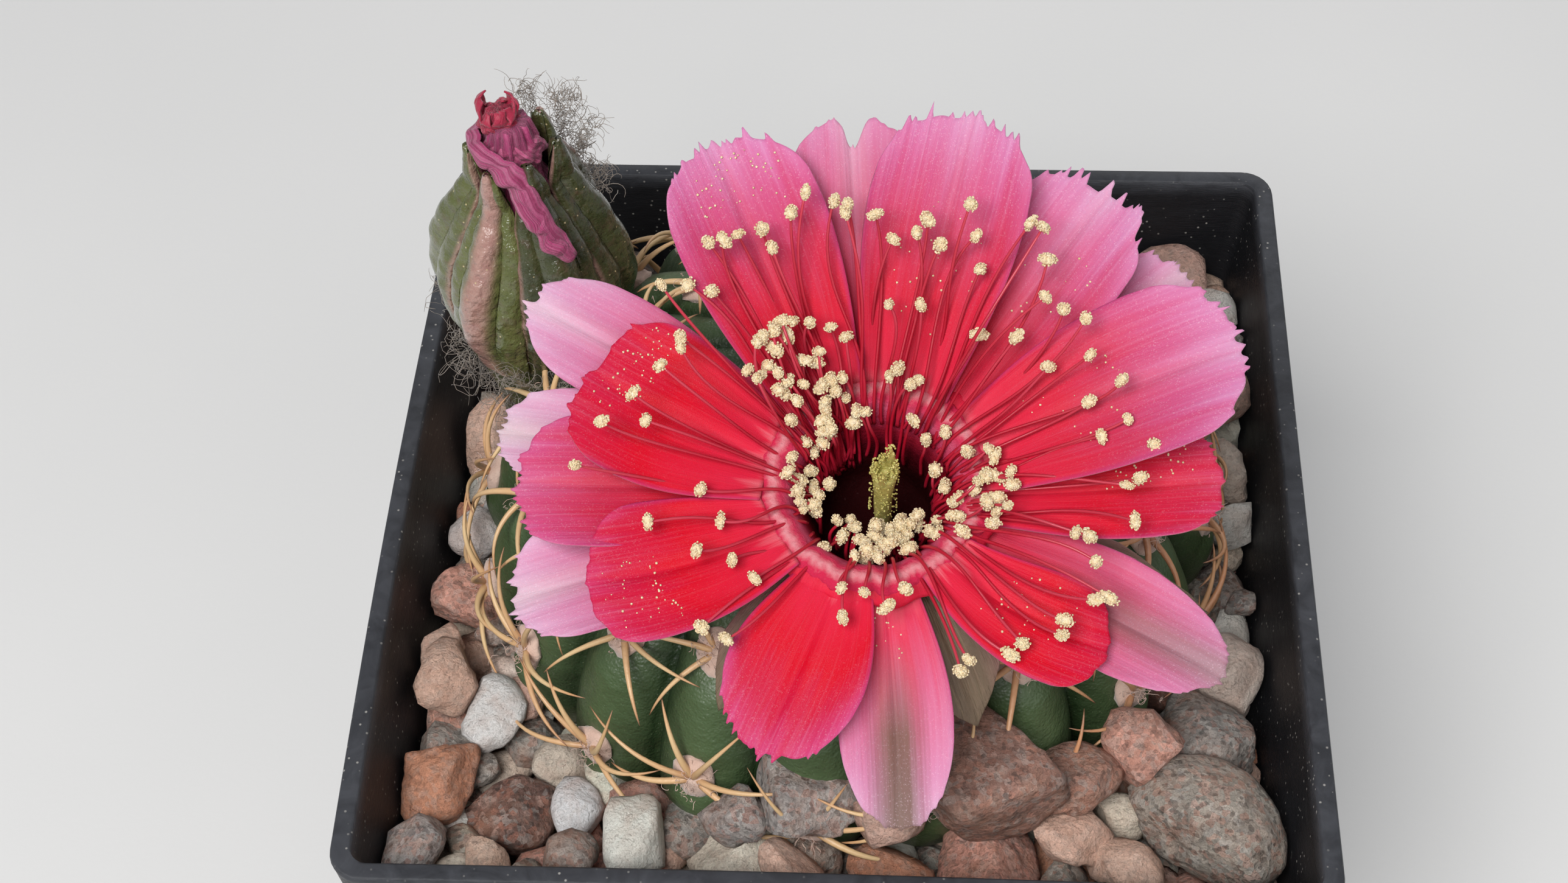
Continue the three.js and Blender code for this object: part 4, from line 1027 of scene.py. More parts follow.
# ---------- flower ----------
def tepal_grid(shape_values, rows, columns, rng, notch=0.0):
    """The middle surface of a tepal, its normals, and how far along and across each point is."""
    azimuth, length, width, slope0, slope1, bend, cup, kind, drop, teeth = shape_values[:10]
    azimuth, bend = math.radians(azimuth), math.radians(bend)
    slope0, slope1 = math.radians(slope0), math.radians(slope1)
    v = np.linspace(-1, 1, columns)
    peak, blunt = {"round": (0.7, 2.6), "strap": (0.55, 2.0), "point": (0.55, 1.35)}[kind]
    if kind == "point":
        end = peak + (1 - peak) * (1 - np.abs(v)) ** (1 / blunt)
    else:
        end = peak + (1 - peak) * (1 - v ** 2) ** (1 / blunt)
    jag = 0.03 * np.array([noise.noise(Vector((x * 3.5, azimuth * 7, 0))) for x in v])
    for centre, tall, wide in zip(rng.uniform(-0.85, 0.85, 16), rng.uniform(0.008, 0.045, 16), rng.uniform(0.02, 0.06, 16)):
        jag = jag + teeth * tall * np.clip(1 - np.abs(v - centre) / wide, 0, 1)
    end = end + jag + teeth * 0.03 * np.clip(1 - np.abs(v) / 0.07, 0, 1) - notch * np.exp(-(v / 0.16) ** 2)
    s_line = np.linspace(0, 1, rows) ** 0.92
    s = s_line[:, None] * end[None, :]
    grown = np.clip(s / peak, 0, 1)
    half = width / 2 * (BASE_SHARE + (1 - BASE_SHARE) * np.sin(grown * math.pi / 2) ** 1.1)
    fine = np.linspace(0, 1.1, 111)
    slope = slope0 + (slope1 - slope0) * fine
    turn = azimuth + bend * fine
    heading = np.stack([np.cos(slope) * np.cos(turn), np.cos(slope) * np.sin(turn), np.sin(slope)], -1)
    walk = np.vstack([[0, 0, 0], np.cumsum((heading[1:] + heading[:-1]) / 2, axis=0) * length * (fine[1] - fine[0])])
    start = np.array([math.cos(azimuth), math.sin(azimuth), 0]) * CLAW_RADIUS + [0, 0, drop]
    centre = start + np.stack([np.interp(s, fine, walk[:, i]) for i in range(3)], -1)
    turn_s = azimuth + bend * s
    side = np.stack([-np.sin(turn_s), np.cos(turn_s), np.zeros_like(s)], -1)
    head = unit(np.stack([np.interp(s, fine, heading[:, i]) for i in range(3)], -1))
    up = np.cross(head, side)
    seed = azimuth * 3
    ripple = 0.07 * np.sin(9 * v[None, :] + seed) * np.sin(math.pi * np.clip(s, 0, 1))
    ripple = ripple + 0.26 * np.sin(8.5 * s + 5 * np.sign(v)[None, :] + seed) * np.abs(v[None, :]) ** 2.5 * s
    ripple = ripple - 0.30 * np.exp(-(v[None, :] / 0.10) ** 2) * np.sin(math.pi * np.clip(s * 0.8 + 0.1, 0, 1))
    lift = cup * half * v[None, :] ** 2 + ripple
    points = centre + side * (half * v[None, :])[..., None] + up * lift[..., None]
    across_grid = np.broadcast_to(v[None, :], s.shape)
    du = np.gradient(points, axis=0)
    dv = np.gradient(points, axis=1)
    normals = unit(np.cross(du, dv))
    flip = np.sign((normals * up).sum(-1).mean())
    return points, normals * flip, s, across_grid


def two_sided(points, normals, thickness, edge_share=0.35):
    """A closed skin round a sheet of points, thinner at its edges."""
    rows, columns = points.shape[:2]
    from_edge = np.minimum(np.minimum(np.arange(rows)[:, None] + 2, rows - 1 - np.arange(rows)[:, None]),
                           np.minimum(np.arange(columns), columns - 1 - np.arange(columns))[None, :])
    half = thickness / 2 * np.clip(edge_share + (1 - edge_share) * from_edge / 5, edge_share, 1)
    top = points + normals * half[..., None]
    low = points - normals * half[..., None]
    faces = grid_faces(rows, columns)
    count = rows * columns
    left = np.arange(rows) * columns
    edge = np.concatenate([np.arange(columns), left[1:] + columns - 1, np.arange(count - 2, count - columns - 1, -1), left[-2:0:-1]])
    ahead = np.roll(edge, -1)
    walls = np.stack([edge, edge + count, ahead + count, ahead], -1)
    return np.vstack([top.reshape(-1, 3), low.reshape(-1, 3)]), [faces, faces[:, ::-1] + count, walls]


def fix_facing(thing):
    work = bmesh.new()
    work.from_mesh(thing.data)
    bmesh.ops.recalc_face_normals(work, faces=work.faces)
    work.to_mesh(thing.data)
    work.free()


def build_tepals():
    rng = np.random.default_rng(30)
    for i, values in enumerate(TEPALS):
        node = f"tepal_{i + 1:02d}"
        notch = 0.12 if i == 6 else 0.0
        points, normals, s, across = tepal_grid(values, 56, 101, rng, notch)
        skin, faces = two_sided(to_world(points), normals @ FLOWER_AXES, 0.3)
        tip_tone, edge_tone, pale, brown = values[10:]
        tone = 0.02 + (tip_tone - 0.02) * s ** 0.95 + edge_tone * np.abs(across) ** 3 * s ** 0.5
        under = np.repeat([0.0, 1.0], s.size)
        stripe = brown * np.clip((np.tile(s.ravel(), 2) - 0.2) / 0.4, 0, 1) * np.where(under > 0, 1.0, 0.85)
        shape = Shape()
        shape.add(skin, faces, along=np.tile(s.ravel(), 2)[:, None], across=np.tile(across.ravel(), 2)[:, None],
                  tone=np.tile(tone.ravel(), 2)[:, None], pale=pale, under=under[:, None], stripe=stripe[:, None])
        thing = shape.make(node + "_blade", [MATERIALS["tepal"]])
        fix_facing(thing)
        declare(thing, "tepal_pale" if i >= 12 else "tepal_red", node)
    for i, values in enumerate(SEPALS):
        node = f"sepal_{i + 1}"
        points, normals, s, across = tepal_grid(values, 50, 25, rng)
        skin, faces = two_sided(to_world(points), normals @ FLOWER_AXES, 0.5)
        shape = Shape()
        shape.add(skin, faces, along=np.tile(s.ravel(), 2)[:, None], across=np.tile(across.ravel(), 2)[:, None], pale=0.45)
        thing = shape.make(node + "_blade", [MATERIALS["sepal"]])
        fix_facing(thing)
        declare(thing, "sepal", node)


def petal_slope(azimuth):
    """How steeply the flower opens: steep at the back, level in front."""
    return np.radians(14 + 25 * np.sin(azimuth))


def build_petal_collar():
    """Where the claws of the tepals run together under the ring."""
    columns = 240
    angles = np.arange(columns) / columns * 2 * math.pi
    rings = []
    for reach, height in ((-0.6, -1.3), (0.5, -1.3), (1.0, -1.05), (1.35, -0.65), (1.15, -0.35), (0.7, -0.2), (0.0, -0.1), (-0.6, -0.2)):
        reach = reach * (1 + 0.12 * np.sin(17 * angles))
        lift = height + np.tan(petal_slope(angles) * 0.8) * np.maximum(reach, 0) + 0.03 * np.sin(60 * angles)
        r = CLAW_RADIUS + reach
        rings.append(np.stack([r * np.cos(angles), r * np.sin(angles), lift], -1))
    rings.append(rings[0])
    faces = grid_faces(len(rings), columns, True)
    shape = Shape()
    shape.add(to_world(np.vstack(rings)), faces, tone=0.12, across=np.tile(np.sin(angles * 9) * 0.8, len(rings))[:, None])
    collar = shape.make("petal_collar", [MATERIALS["tepal"]])
    work = bmesh.new()
    work.from_mesh(collar.data)
    bmesh.ops.remove_doubles(work, verts=work.verts, dist=1e-7)
    bmesh.ops.recalc_face_normals(work, faces=work.faces)
    work.to_mesh(collar.data)
    work.free()
    declare(collar, "tepal_red")


def build_throat():
    ridges = 84
    profile = smooth_profile([
        (0.2, -8.9), (4.3, -8.9), (4.45, -6.5), (5.0, -4.2), (5.7, -2.6), (6.4, -1.5), (7.2, -0.8), (7.9, -0.3),
        (7.5, 0.08), (7.0, 0.24), (6.6, 0.2), (6.1, -0.12), (5.6, -0.95), (5.15, -2.1), (4.6, -3.7), (4.1, -5.6),
        (3.8, -7.4), (2.5, -8.2), (0.2, -8.4)], 4)
    columns = ridges * 5
    angles = np.arange(columns) / columns * 2 * math.pi
    ridge = 0.5 + 0.5 * np.cos(ridges * angles + 1.8 * np.sin(7 * angles) + np.sin(17 * angles))
    scallop = 0.16 * np.sin(13 * angles + 1) + 0.10 * np.sin(29 * angles)
    rings = []
    for radius, height in profile:
        near_rim = np.clip((height + 1.6) / 1.2, 0, 1)
        r = radius + (ridge * 0.04 + scallop * 0.7) * near_rim
        lift = np.tan(petal_slope(angles)) * max(radius - THROAT_RADIUS, 0) * 0.7
        rings.append(np.stack([r * np.cos(angles), r * np.sin(angles), height + lift + 0.03 * ridge * near_rim], -1))
    points, faces = closed_stack(rings)
    inside = np.clip((THROAT_RADIUS - profile[:, 0]) / 1.2, 0, 1)
    # How deep into the funnel each point lies; the material paints shade that grows with it.
    depth = np.clip((0.3 - profile[:, 1]) / 6.0, 0, 1) * inside
    along = np.append(np.repeat(depth, columns), [1, 1])
    band = np.exp(-((profile[:, 0] - THROAT_RADIUS + 0.1) / 0.42) ** 2) * (profile[:, 1] > -0.6)
    across = np.append(np.repeat(band, columns) * (0.8 + 0.2 * np.tile(ridge, len(profile))), [0, 0])
    shape = Shape()
    shape.add(to_world(points), faces, along=along[:, None], across=across[:, None])
    throat = shape.make("throat_funnel", [MATERIALS["ring"]])
    fix_facing(throat)
    declare(throat, "throat_pink", "throat_ring")


def build_flower_tube():
    rng = np.random.default_rng(17)
    profile = smooth_profile([(0.3, -11.5), (TUBE_RADIUS - 0.6, -11.4), (TUBE_RADIUS, -10.6), (TUBE_RADIUS + 0.1, -8), (6.4, -5.6),
                              (7.6, -3.9), (7.7, -3.0), (7.3, -2.0), (6.9, -1.7), (6.5, -2.0), (6.0, -3.0), (5.4, -4.6),
                              (4.9, -6.6), (4.7, -9.2), (0.3, -9.6)], 4)
    columns = 96
    points, faces = lathe(profile, columns, lambda a, row: 1 + 0.02 * np.sin(9 * a + row * 0.4))
    shape = Shape()
    shape.add(to_world(points), faces)
    for row in range(4):
        for k in range(9):
            angle = (k + 0.5 * (row % 2)) / 9 * 2 * math.pi + rng.normal(0, 0.08)
            height = -9.4 + row * 1.7
            radius = np.interp(height, [-11, -8, -5.6, -3.9], [5.0, 5.1, 6.4, 7.6])
            out = np.array([math.cos(angle), math.sin(angle), 0])
            start = out * (radius - 0.3) + [0, 0, height]
            line = np.linspace(0, 1, 10)
            path = start + out * (0.5 + 1.1 * line[:, None]) * line[:, None] + np.array([0, 0, 1]) * 3.2 * line[:, None]
            cross = np.array([-math.sin(angle), math.cos(angle), 0])
            half = 0.85 * np.sin(np.pi * (0.18 + 0.82 * line)) ** 0.8
            v = np.linspace(-1, 1, 7)
            sheet = path[:, None] + cross * (half[:, None] * v)[..., None] - out * (0.25 * v ** 2)[None, :, None]
            normal = np.broadcast_to(out, sheet.shape)
            skin, skin_faces = two_sided(sheet, normal, 0.25)
            shape.add(to_world(skin), skin_faces)
            add_fluff(shape, 1, to_world(start + out * 1.2 + [0, 0, 0.4]), out @ FLOWER_AXES, rng, 16, 2.0, 0.6, 0.03, 1.2)
    tube_piece = shape.make("flower_tube_scaly", [MATERIALS["tube"], MATERIALS["grey_wool"]])
    fix_facing(tube_piece)
    declare(tube_piece, "flower_tube_skin", "flower_tube")


def add_anther(shape, place, heading, rng, size=1.0):
    """An anther covered in pollen: a lumpy bean under many fine grains."""
    core, core_faces = ball(2)
    grain, faces = ball(1)
    side = unit(np.cross(heading, rng.normal(size=3)))
    other = np.cross(heading, side)
    axes = np.array([side, other, heading]) if rng.random() < 0.6 else np.array([heading, side, other])
    halves = np.array([0.66, 0.44, 0.44]) * size * rng.uniform(0.85, 1.2, 3)
    shape.add(core * halves * 0.9 @ axes + place, core_faces)
    lumps = unit(rng.normal(size=(4, 3)))
    for _ in range(76):
        spot = unit(rng.normal(size=3))
        swell = 0.9 + 0.2 * max(0.0, (lumps @ spot).max()) ** 3
        shape.add(grain * rng.uniform(0.06, 0.11) * size + (spot * halves * swell) @ axes + place, faces)


def stamens(name, paths, slot_node, rng):
    """Filaments along paths in the flower's frame, each with its anther."""
    filaments, anthers = Shape(), [Shape(), Shape()]
    for i, controls in enumerate(paths):
        a, b, c, d = map(to_world, controls)
        t = np.linspace(0, 1, 20)[:, None]
        path = (1 - t) ** 3 * a + 3 * (1 - t) ** 2 * t * b + 3 * (1 - t) * t ** 2 * c + t ** 3 * d
        size = np.linalg.norm(d - a)
        path = path + rng.normal(0, 0.035, 3) * size * np.sin(t * math.pi) + rng.normal(0, 0.022, 3) * size * np.sin(2 * math.pi * t)
        points, faces = tube(path, np.interp(t.ravel(), [0, 0.85, 1], [0.13, 0.105, 0.08]), 7)
        along = np.append(np.repeat(t.ravel(), 7), [0, 1])
        filaments.add(points, faces, along=along[:, None])
        add_anther(anthers[i % 2], path[-1], unit(path[-1] - path[-3]), rng, rng.uniform(0.72, 0.98))
    declare(filaments.make(name + "_filaments", [MATERIALS["filament"]]), "stamen", slot_node)
    for i, shape in enumerate(anthers):
        declare(shape.make(f"{name}_anthers_{i + 1}", [MATERIALS["pollen"]]), "stamen", slot_node)


def polar(radius, angle, height):
    return np.array([radius * math.cos(angle), radius * math.sin(angle), height])


# Outer stamens: azimuths they fill, how many, and how far past the ring they reach along the tepals
OUTER_STAMENS = [(45, 140, 22, 9.0, 14.5), (140, 186, 9, 8.0, 13.5), (186, 238, 8, 3.0, 9.5), (250, 288, 5, 1.0, 3.2),
                 (290, 325, 6, 5.0, 10.0), (325, 405, 19, 6.5, 12.8), (30, 150, 5, 3.0, 7.0)]
# Inner ones: azimuth, its spread, how many, radii and heights of their anthers
INNER_STAMENS = [(128, 10, 38, 4.4, 11.0, 0.6, 6.6), (168, 14, 11, 4.0, 6.0, -2.6, 0.2), (-72, 32, 36, 2.2, 5.6, -2.6, -0.4), (-6, 24, 28, 3.0, 9.4, -1.6, 2.6),
                 (80, 16, 7, 4.5, 8.0, 0.8, 2.8), (186, 16, 9, 3.0, 6.0, -1.8, 0.2)]


def build_stamens():
    rng = np.random.default_rng(52)
    outer = []
    for low, high, count, near, far in OUTER_STAMENS:
        for i in range(count):
            angle = math.radians(low + (high - low) * (i + rng.uniform(0.1, 0.9)) / count)
            slope = float(petal_slope(angle))
            reach = near + (far - near) * rng.random() ** 0.7
            end_angle = angle + rng.normal(0, 0.05)
            ahead = polar(math.cos(slope), end_angle, math.sin(slope))
            normal = polar(-math.sin(slope), end_angle, math.cos(slope))
            lip = polar(THROAT_RADIUS, angle, 0.3)
            outer.append((polar(THROAT_RADIUS - 1.9, angle, -1.6), polar(THROAT_RADIUS - 0.9, angle, 1.3),
                          lip + ahead * reach * 0.7 + normal * (0.5 + 0.02 * reach),
                          lip + ahead * reach + normal * (1.3 + 0.12 * reach + rng.uniform(-0.2, 0.6))))
    stamens("stamens_outer", outer, "stamens_outer", rng)
    inner = []
    for middle, spread, number, near, far, low, high in INNER_STAMENS:
        for _ in range(number):
            angle = math.radians(middle + rng.normal(0, spread))
            share = rng.random()
            radius = near + (far - near) * share
            height = low + (high - low) * share + rng.normal(0, 0.35)
            inner.append((polar(4.0, angle, rng.uniform(-6, -3.5)), polar(4.3, angle, -1.8), polar(radius - 0.6, angle, height - 1.2),
                          polar(radius, angle + rng.normal(0, 0.08), height)))
    stamens("stamens_inner", inner, "stamens_inner", rng)


def build_pistil():
    rng = np.random.default_rng(6)
    shape = Shape()
    grain, grain_faces = ball(1)
    path = bezier((0.6, 0, -THROAT_DEPTH), (0.4, 0, -4), (0.7, 0.5, 0.5), 24)
    radii = np.interp(np.linspace(0, 1, 24), [0, 0.7, 1], [0.55, 0.66, 0.85])
    points, faces = tube(path, radii, 24)
    shape.add(to_world(points), faces)
    top = path[-1]
    for k in range(7):
        angle = k / 7 * 2 * math.pi + rng.normal(0, 0.15)
        out = np.array([math.cos(angle), math.sin(angle), 0])
        tall = rng.uniform(0.9, 2.2) + (1.8 if k == 1 else 0)
        lobe = bezier(top + out * 0.5 + [0, 0, -0.6], top + out * 0.75 + [0, 0, tall * 0.4], top + out * rng.uniform(0.3, 1.2) + [0, 0, tall], 16)
        points, faces = tube(lobe, 0.32 * (1 - np.linspace(0, 1, 16) ** 1.6) + 0.05, 10)
        shape.add(to_world(points), faces)
        for spot in lobe[2:]:
            for _ in range(4):
                shape.add(to_world(spot + unit(rng.normal(size=3)) * 0.3) + grain * rng.uniform(0.05, 0.1), grain_faces)
    for _ in range(160):
        spot = path[rng.integers(10, 24)] + polar(0.95, rng.uniform(0, 6.28), rng.uniform(-0.3, 0.3))
        shape.add(to_world(spot) + grain * rng.uniform(0.04, 0.09), grain_faces)
    declare(shape.make("pistil_style", [MATERIALS["stigma"]]), "stigma", "pistil")


def build_pollen_dust():
    """Loose grains that have fallen on the blades."""
    rng = np.random.default_rng(91)
    grain, faces = ball(1)
    shape = Shape()
    for index, count, low, high, left, right in ((0, 50, 0.75, 0.97, -0.7, 0.5), (5, 60, 0.7, 0.95, -0.9, 0.3), (4, 46, 0.6, 0.95, -0.2, 0.8),
                                                 (8, 50, 0.5, 0.9, 0.0, 0.8), (2, 30, 0.2, 0.6, -0.6, 0.6), (1, 26, 0.2, 0.7, -0.6, 0.6),
                                                 (7, 20, 0.3, 0.8, -0.6, 0.6), (3, 26, 0.3, 0.8, -0.5, 0.8), (14, 12, 0.1, 0.3, -0.5, 0.5)):
        points, normals, _, _ = tepal_grid(TEPALS[index], 56, 101, np.random.default_rng(1))
        for _ in range(count):
            row = int(rng.uniform(low, high) * 55)
            column = int((rng.uniform(left, right) + 1) / 2 * 100)
            place = points[row, column] + normals[row, column] * 0.19
            shape.add(to_world(place) + grain * rng.uniform(0.04, 0.10), faces)
    declare(shape.make("pollen_dust", [MATERIALS["pollen"]]), "stamen")


# ---------- spent flower ----------
def spent_radius(s):
    belly = np.sin(np.pi * np.minimum(1, 0.2 + 0.95 * s) ** 1.15)
    return 2.6 + (SPENT_RADIUS - 4.4) * np.maximum(0, belly)


def build_spent_flower():
    rng = np.random.default_rng(77)
    rows, columns = 76, 44
    s = np.linspace(0, 1, rows)[:, None]
    v = np.linspace(-1, 1, columns)[None, :]
    for i in range(6):
        middle = i / 6 * 2 * math.pi + rng.normal(0, 0.03)
        spread = math.pi / 6 * 1.04 * np.where(s < 0.7, 1, 1 - 0.85 * np.clip((s - 0.7) / 0.3, 0, 1) ** 1.6)
        angle = middle + v * spread + 0.07 * np.sin(5 * s + i)
        ridge = 0.70 * np.exp(-(v / 0.24) ** 2) - 0.55 * np.abs(v) ** 3 - 0.35 * np.exp(-((np.abs(v) - 0.42) / 0.13) ** 2)
        r = spent_radius(s) + 0.6 + ridge * (0.3 + 0.7 * np.sin(math.pi * s)) + 0.15 * np.sin(9 * s + 2 * v + i)
        height = s * SPENT_HEIGHT * (0.955 if i in (3, 4) else 1.0) + 0.25 * np.cos(v * 3)
        points = np.stack([r * np.cos(angle), r * np.sin(angle), height + 0 * angle], -1)
        normals = unit(np.cross(np.gradient(points, axis=1), np.gradient(points, axis=0)))
        flat = points.reshape(-1, 3)
        wrinkle = 0.22 * rough(flat, 0.6, i * 5.0) + 0.07 * rough(flat, 1.5, i * 3.0)
        points = points + normals * wrinkle.reshape(rows, columns)[..., None]
        skin, faces = two_sided(points, normals, 1.0, 0.45)
        band = np.exp(-((v - 0.05) / 0.19) ** 4) if i in (1, 4) else np.clip((np.abs(v) - 0.86) / 0.1, 0, 1) * 0.7
        rosy = np.tile(np.broadcast_to(band * np.ones_like(s), (rows, columns)).ravel(), 2)
        shape = Shape()
        along = np.tile(np.broadcast_to(s, (rows, columns)).ravel(), 2)
        across = np.tile(np.broadcast_to(v, (rows, columns)).ravel(), 2)
        # tone is painted light and shade for each sepal: light on the lit left-hand sepals, dark on the shaded
        # right-hand ones.
        shape.add(skin + SPENT_PLACE, faces, along=along[:, None], across=across[:, None], pale=rosy[:, None],
                  tone=(0.1, 0.4, 0.5, 0.9, 1.0, 0.15)[i])
        node = f"spent_flower_sepal_{i + 1}"
        thing = shape.make(node + "_blade", [MATERIALS["spent_sepal"]])
        fix_facing(thing)
        declare(thing, "spent_sepal", node)
    build_withered(rng)
    build_spent_tube(rng)


def crumpled_sheet(centre, cross, wide, v, seed, depth):
    """A withered strip: a swept sheet with deep soft wrinkles."""
    sheet = centre[:, None, :] + cross * (wide * v)[..., None]
    flat = sheet.reshape(-1, 3)
    push = np.stack([rough(flat, 0.9, seed), rough(flat, 0.9, seed + 7), rough(flat, 0.9, seed + 13)], -1)
    sheet = sheet + (push * depth).reshape(sheet.shape)
    normals = unit(np.cross(np.gradient(sheet, axis=1), np.gradient(sheet, axis=0)))
    return two_sided(sheet, normals, 0.35)


def build_withered(rng):
    shape = Shape()
    columns = 96
    angles = np.arange(columns) / columns * 2 * math.pi
    heights = np.linspace(0.02, 1.08, 40)
    rings = []
    for s in heights:
        crumple = 1 + 0.08 * np.sin(11 * angles + 5 * s) + 0.06 * np.sin(19 * angles - 9 * s)
        r = (float(spent_radius(min(s, 1.0))) - 0.75) * crumple * (1 if s < 1 else 1 - (s - 1) * 3)
        rings.append(np.stack([r * np.cos(angles), r * np.sin(angles), np.full(columns, s * SPENT_HEIGHT)], -1))
    points, faces = closed_stack(rings)
    shape.add(points + SPENT_PLACE, faces, along=np.append(np.repeat(heights, columns), [0, 1])[:, None],
              across=np.append(np.tile(np.sin(angles * 3), len(heights)), [0, 0])[:, None])

    def add_lump(centre, halves, wrinkle, scale, seed, tone):
        lump, lump_faces = ball(5)
        swirl = np.arctan2(lump[:, 1], lump[:, 0])
        folds = np.sin(7 * swirl + 4 * lump[:, 2] + 3 * rough(lump, 1.3, seed))
        r = 1 + wrinkle * folds + 0.16 * rough(lump, scale, seed) + 0.08 * rough(lump, scale * 2.5, seed)
        shape.add(lump * r[:, None] * halves + SPENT_PLACE + centre, lump_faces, along=tone, across=folds[:, None] * 0.3)

    add_lump(np.array([0, 0, SPENT_HEIGHT - 0.8]), np.array([2.3, 2.2, 1.8]), 0.05, 2.0, 3.0, 0.75)
    add_lump(np.array([-0.7, 0.3, SPENT_HEIGHT + 1.4]), np.array([1.45, 1.4, 1.3]), 0.10, 3.0, 11.0, 0.2)
    # A band wound round the tip, whose end hangs down over the sepals
    turns = np.linspace(0, 1, 90)
    wind = np.interp(turns, [0, 0.45, 0.6, 1], [-4.2, -1.9, -1.35, -0.92])
    drop = np.interp(turns, [0, 0.25, 0.45, 0.6, 1], [-0.8, 0.1, -0.2, -1.2, -6.6])
    reach = np.interp(turns, [0, 0.45, 0.6, 0.8, 1], [2.0, 2.3, 3.0, 5.2, 6.9])
    centre = np.stack([reach * np.cos(wind), reach * np.sin(wind), SPENT_HEIGHT + drop], -1)
    heading = unit(np.gradient(centre, axis=0))
    out = unit(np.stack([np.cos(wind), np.sin(wind), 0.25 + 0 * wind], -1))
    cross = unit(np.cross(heading, out))[:, None, :]
    wide = (0.9 * np.interp(turns, [0, 0.1, 0.9, 1], [0.5, 1, 1.15, 0.6]))[:, None]
    v = np.linspace(-1, 1, 26)[None, :]
    skin, skin_faces = crumpled_sheet(centre + out * 0.35, cross, wide, v, 5.0, 0.42)
    arch = 0.45 * (1 - v ** 2) * np.ones((90, 1))
    skin = skin + np.tile((out[:, None, :] * arch[..., None]).reshape(-1, 3), (2, 1))
    shape.add(skin + SPENT_PLACE, skin_faces, along=np.tile(np.repeat(0.75 + 0.25 * turns, 26), 2)[:, None],
              across=np.tile(np.tile(v.ravel(), 90), 2)[:, None] * 0.6)
    for k in range(12):
        turn = k * 2.4
        lean = np.array([math.cos(turn), math.sin(turn), 0])
        cross = np.array([-lean[1], lean[0], 0])[None, None, :]
        line = np.linspace(0, 1, 22)[:, None]
        v = np.linspace(-1, 1, 11)[None, :]
        tall = 0.8 + 1.3 * rng.random()
        centre = lean * (0.9 + 0.5 * np.sin(line * 3)) + np.array([0, 0, 1.0]) * (SPENT_HEIGHT + 1.6 + tall * line) + [-0.7, 0.3, 0]
        wide = 0.6 * (1 - 0.7 * line) + 0.08
        skin, skin_faces = crumpled_sheet(centre, cross, wide, v, k * 4.0, 0.4)
        shape.add(skin + SPENT_PLACE, skin_faces, along=0.15, across=0.3)
    thing = shape.make("withered_petals", [MATERIALS["withered"]])
    fix_facing(thing)
    declare(thing, "spent_petal", "spent_flower_petals")


def build_spent_tube(rng):
    shape = Shape()
    profile = smooth_profile([(0.3, -9.6), (3.0, -9.5), (3.7, -8.8), (4.3, -4), (4.9, -0.5), (3.4, 0.6), (0.3, 0.9)], 5)
    points, faces = lathe(profile, 80, lambda a, row: 1 + 0.05 * np.sin(8 * a + row * 0.5))
    shape.add(points + SPENT_PLACE, faces)
    for k in range(44):
        angle = rng.uniform(0, 2 * math.pi)
        height = rng.uniform(-3.5, 4.2)
        out = np.array([math.cos(angle), math.sin(angle), -0.1])
        radius = 4.7 if height < 0 else 5.0 + 0.75 * height
        spot = SPENT_PLACE + out * radius + [0, 0, height]
        add_fluff(shape, 1, spot, out, rng, 30, 4.2, 1.8, 0.03, 0.4)
    for k in range(22):
        angle = rng.normal(1.1, 0.35)
        out = np.array([math.cos(angle), math.sin(angle), 0.3])
        spot = SPENT_PLACE + out * 6.4 + [0, 0, rng.uniform(11, 19)]
        add_fluff(shape, 1, spot, out, rng, 26, 2.6, 1.2, 0.03, 0.5)
    thing = shape.make("spent_tube_woolly", [MATERIALS["tube"], MATERIALS["grey_wool"]])
    fix_facing(thing)
    declare(thing, "flower_tube_skin", "spent_flower_tube")


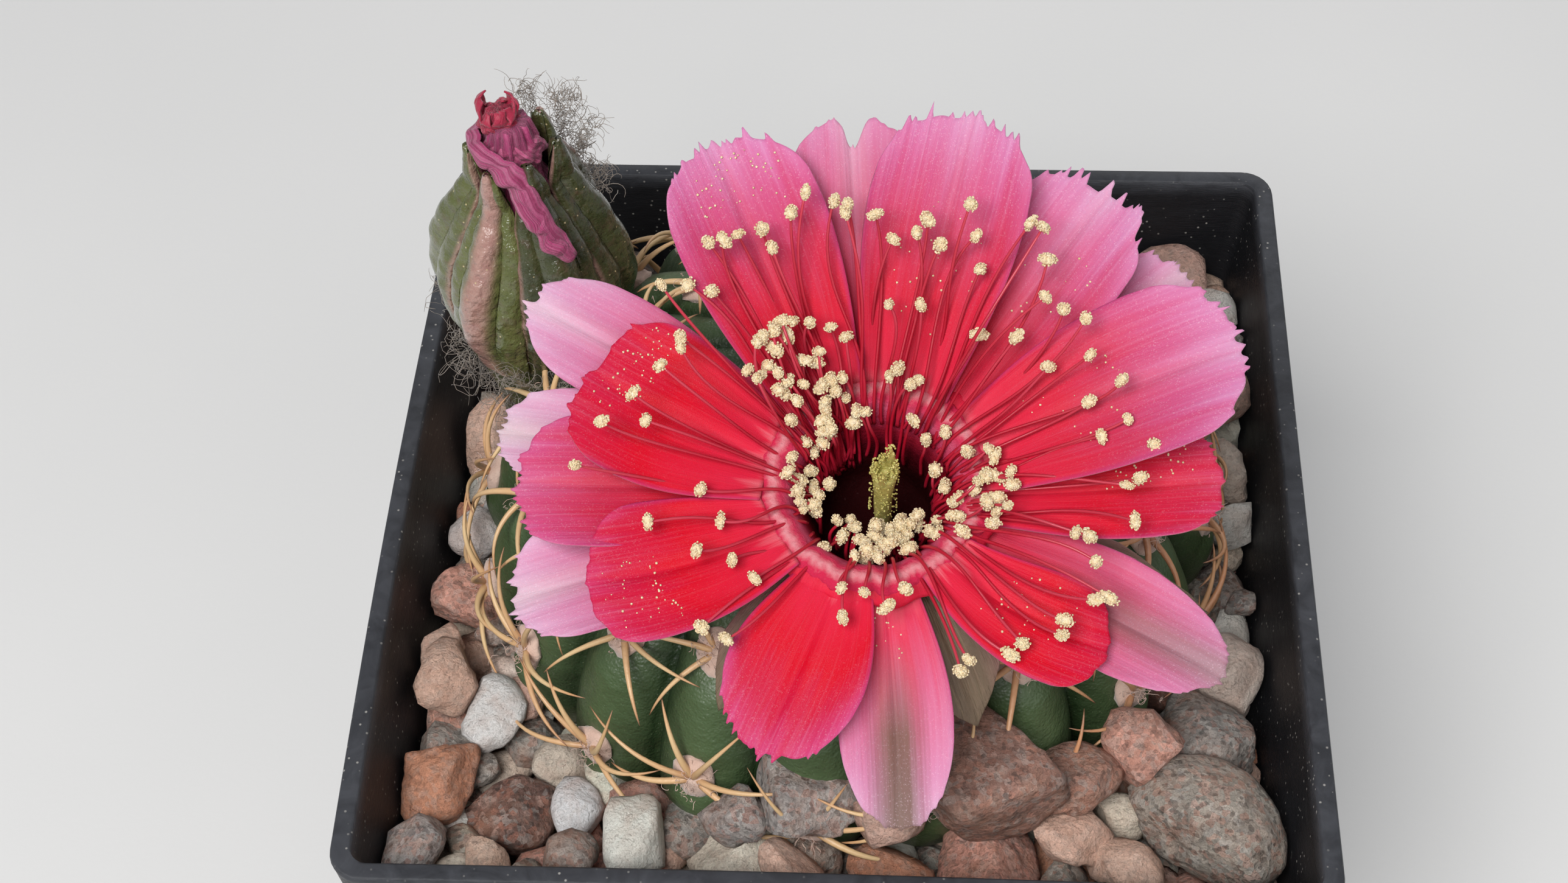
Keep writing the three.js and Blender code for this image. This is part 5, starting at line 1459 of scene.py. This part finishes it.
# ---------- stage ----------
def build_stage():
    mesh = bpy.data.meshes.new("floor")
    size = 3.0
    mesh.from_pydata([(-size, -size, 0), (size, -size, 0), (size, size, 0), (-size, size, 0)], [], [(0, 1, 2, 3)])
    mesh.materials.append(make_floor_paper())
    floor = bpy.data.objects.new("floor", mesh)
    bpy.context.collection.objects.link(floor)

    world = bpy.data.worlds.new("studio")
    world.use_nodes = True
    world.node_tree.nodes["Background"].inputs["Color"].default_value = (0.9, 0.93, 1.0, 1)
    world.node_tree.nodes["Background"].inputs["Strength"].default_value = 0.26
    bpy.context.scene.world = world

    target = Vector((0, 0, RIM_Z * MM))
    for name, place, size, power in (("key", (-0.13, -0.33, 0.56), 0.28, 3.9), ("fill", (0.42, -0.40, 0.40), 0.6, 0.9),
                                     ("back", (0.10, 0.55, 0.35), 0.4, 0.9)):
        data = bpy.data.lights.new(name, "AREA")
        data.size, data.energy = size, power
        light = bpy.data.objects.new(name, data)
        light.location = place
        light.rotation_euler = (target - light.location).to_track_quat("-Z", "Y").to_euler()
        bpy.context.collection.objects.link(light)


def build_camera():
    """The viewing angle, distance and lens of the reference view, in pot widths."""
    azimuth, elevation, roll = math.radians(5.19), math.radians(51.35), math.radians(-2.97)
    back = np.array([math.sin(azimuth) * math.cos(elevation), -math.cos(azimuth) * math.cos(elevation), math.sin(elevation)])
    aim = np.array([-0.0735 * POT_SIDE, 0.0634 * POT_SIDE, RIM_Z])
    place = aim + back * 2.693 * POT_SIDE
    right = unit(np.cross(-back, [0, 0, 1]))
    up = np.cross(right, -back)
    turned_right = math.cos(roll) * right + math.sin(roll) * up
    turned_up = -math.sin(roll) * right + math.cos(roll) * up
    data = bpy.data.cameras.new("camera")
    data.lens, data.sensor_width, data.sensor_fit = 55.13, 36.0, "HORIZONTAL"
    data.clip_start = 0.01
    camera = bpy.data.objects.new("camera", data)
    matrix = np.eye(4)
    matrix[:3, 0], matrix[:3, 1], matrix[:3, 2], matrix[:3, 3] = turned_right, turned_up, back, place * MM
    camera.matrix_world = Matrix(matrix.tolist())
    bpy.context.collection.objects.link(camera)
    bpy.context.scene.camera = camera


build_camera()
build_stage()
build_pot()
build_soil()
build_gravel()
build_body()
build_spines()
build_tepals()
build_petal_collar()
build_throat()
build_flower_tube()
build_stamens()
build_pistil()
build_pollen_dust()
build_spent_flower()
bpy.context.scene.view_settings.view_transform = "Standard"
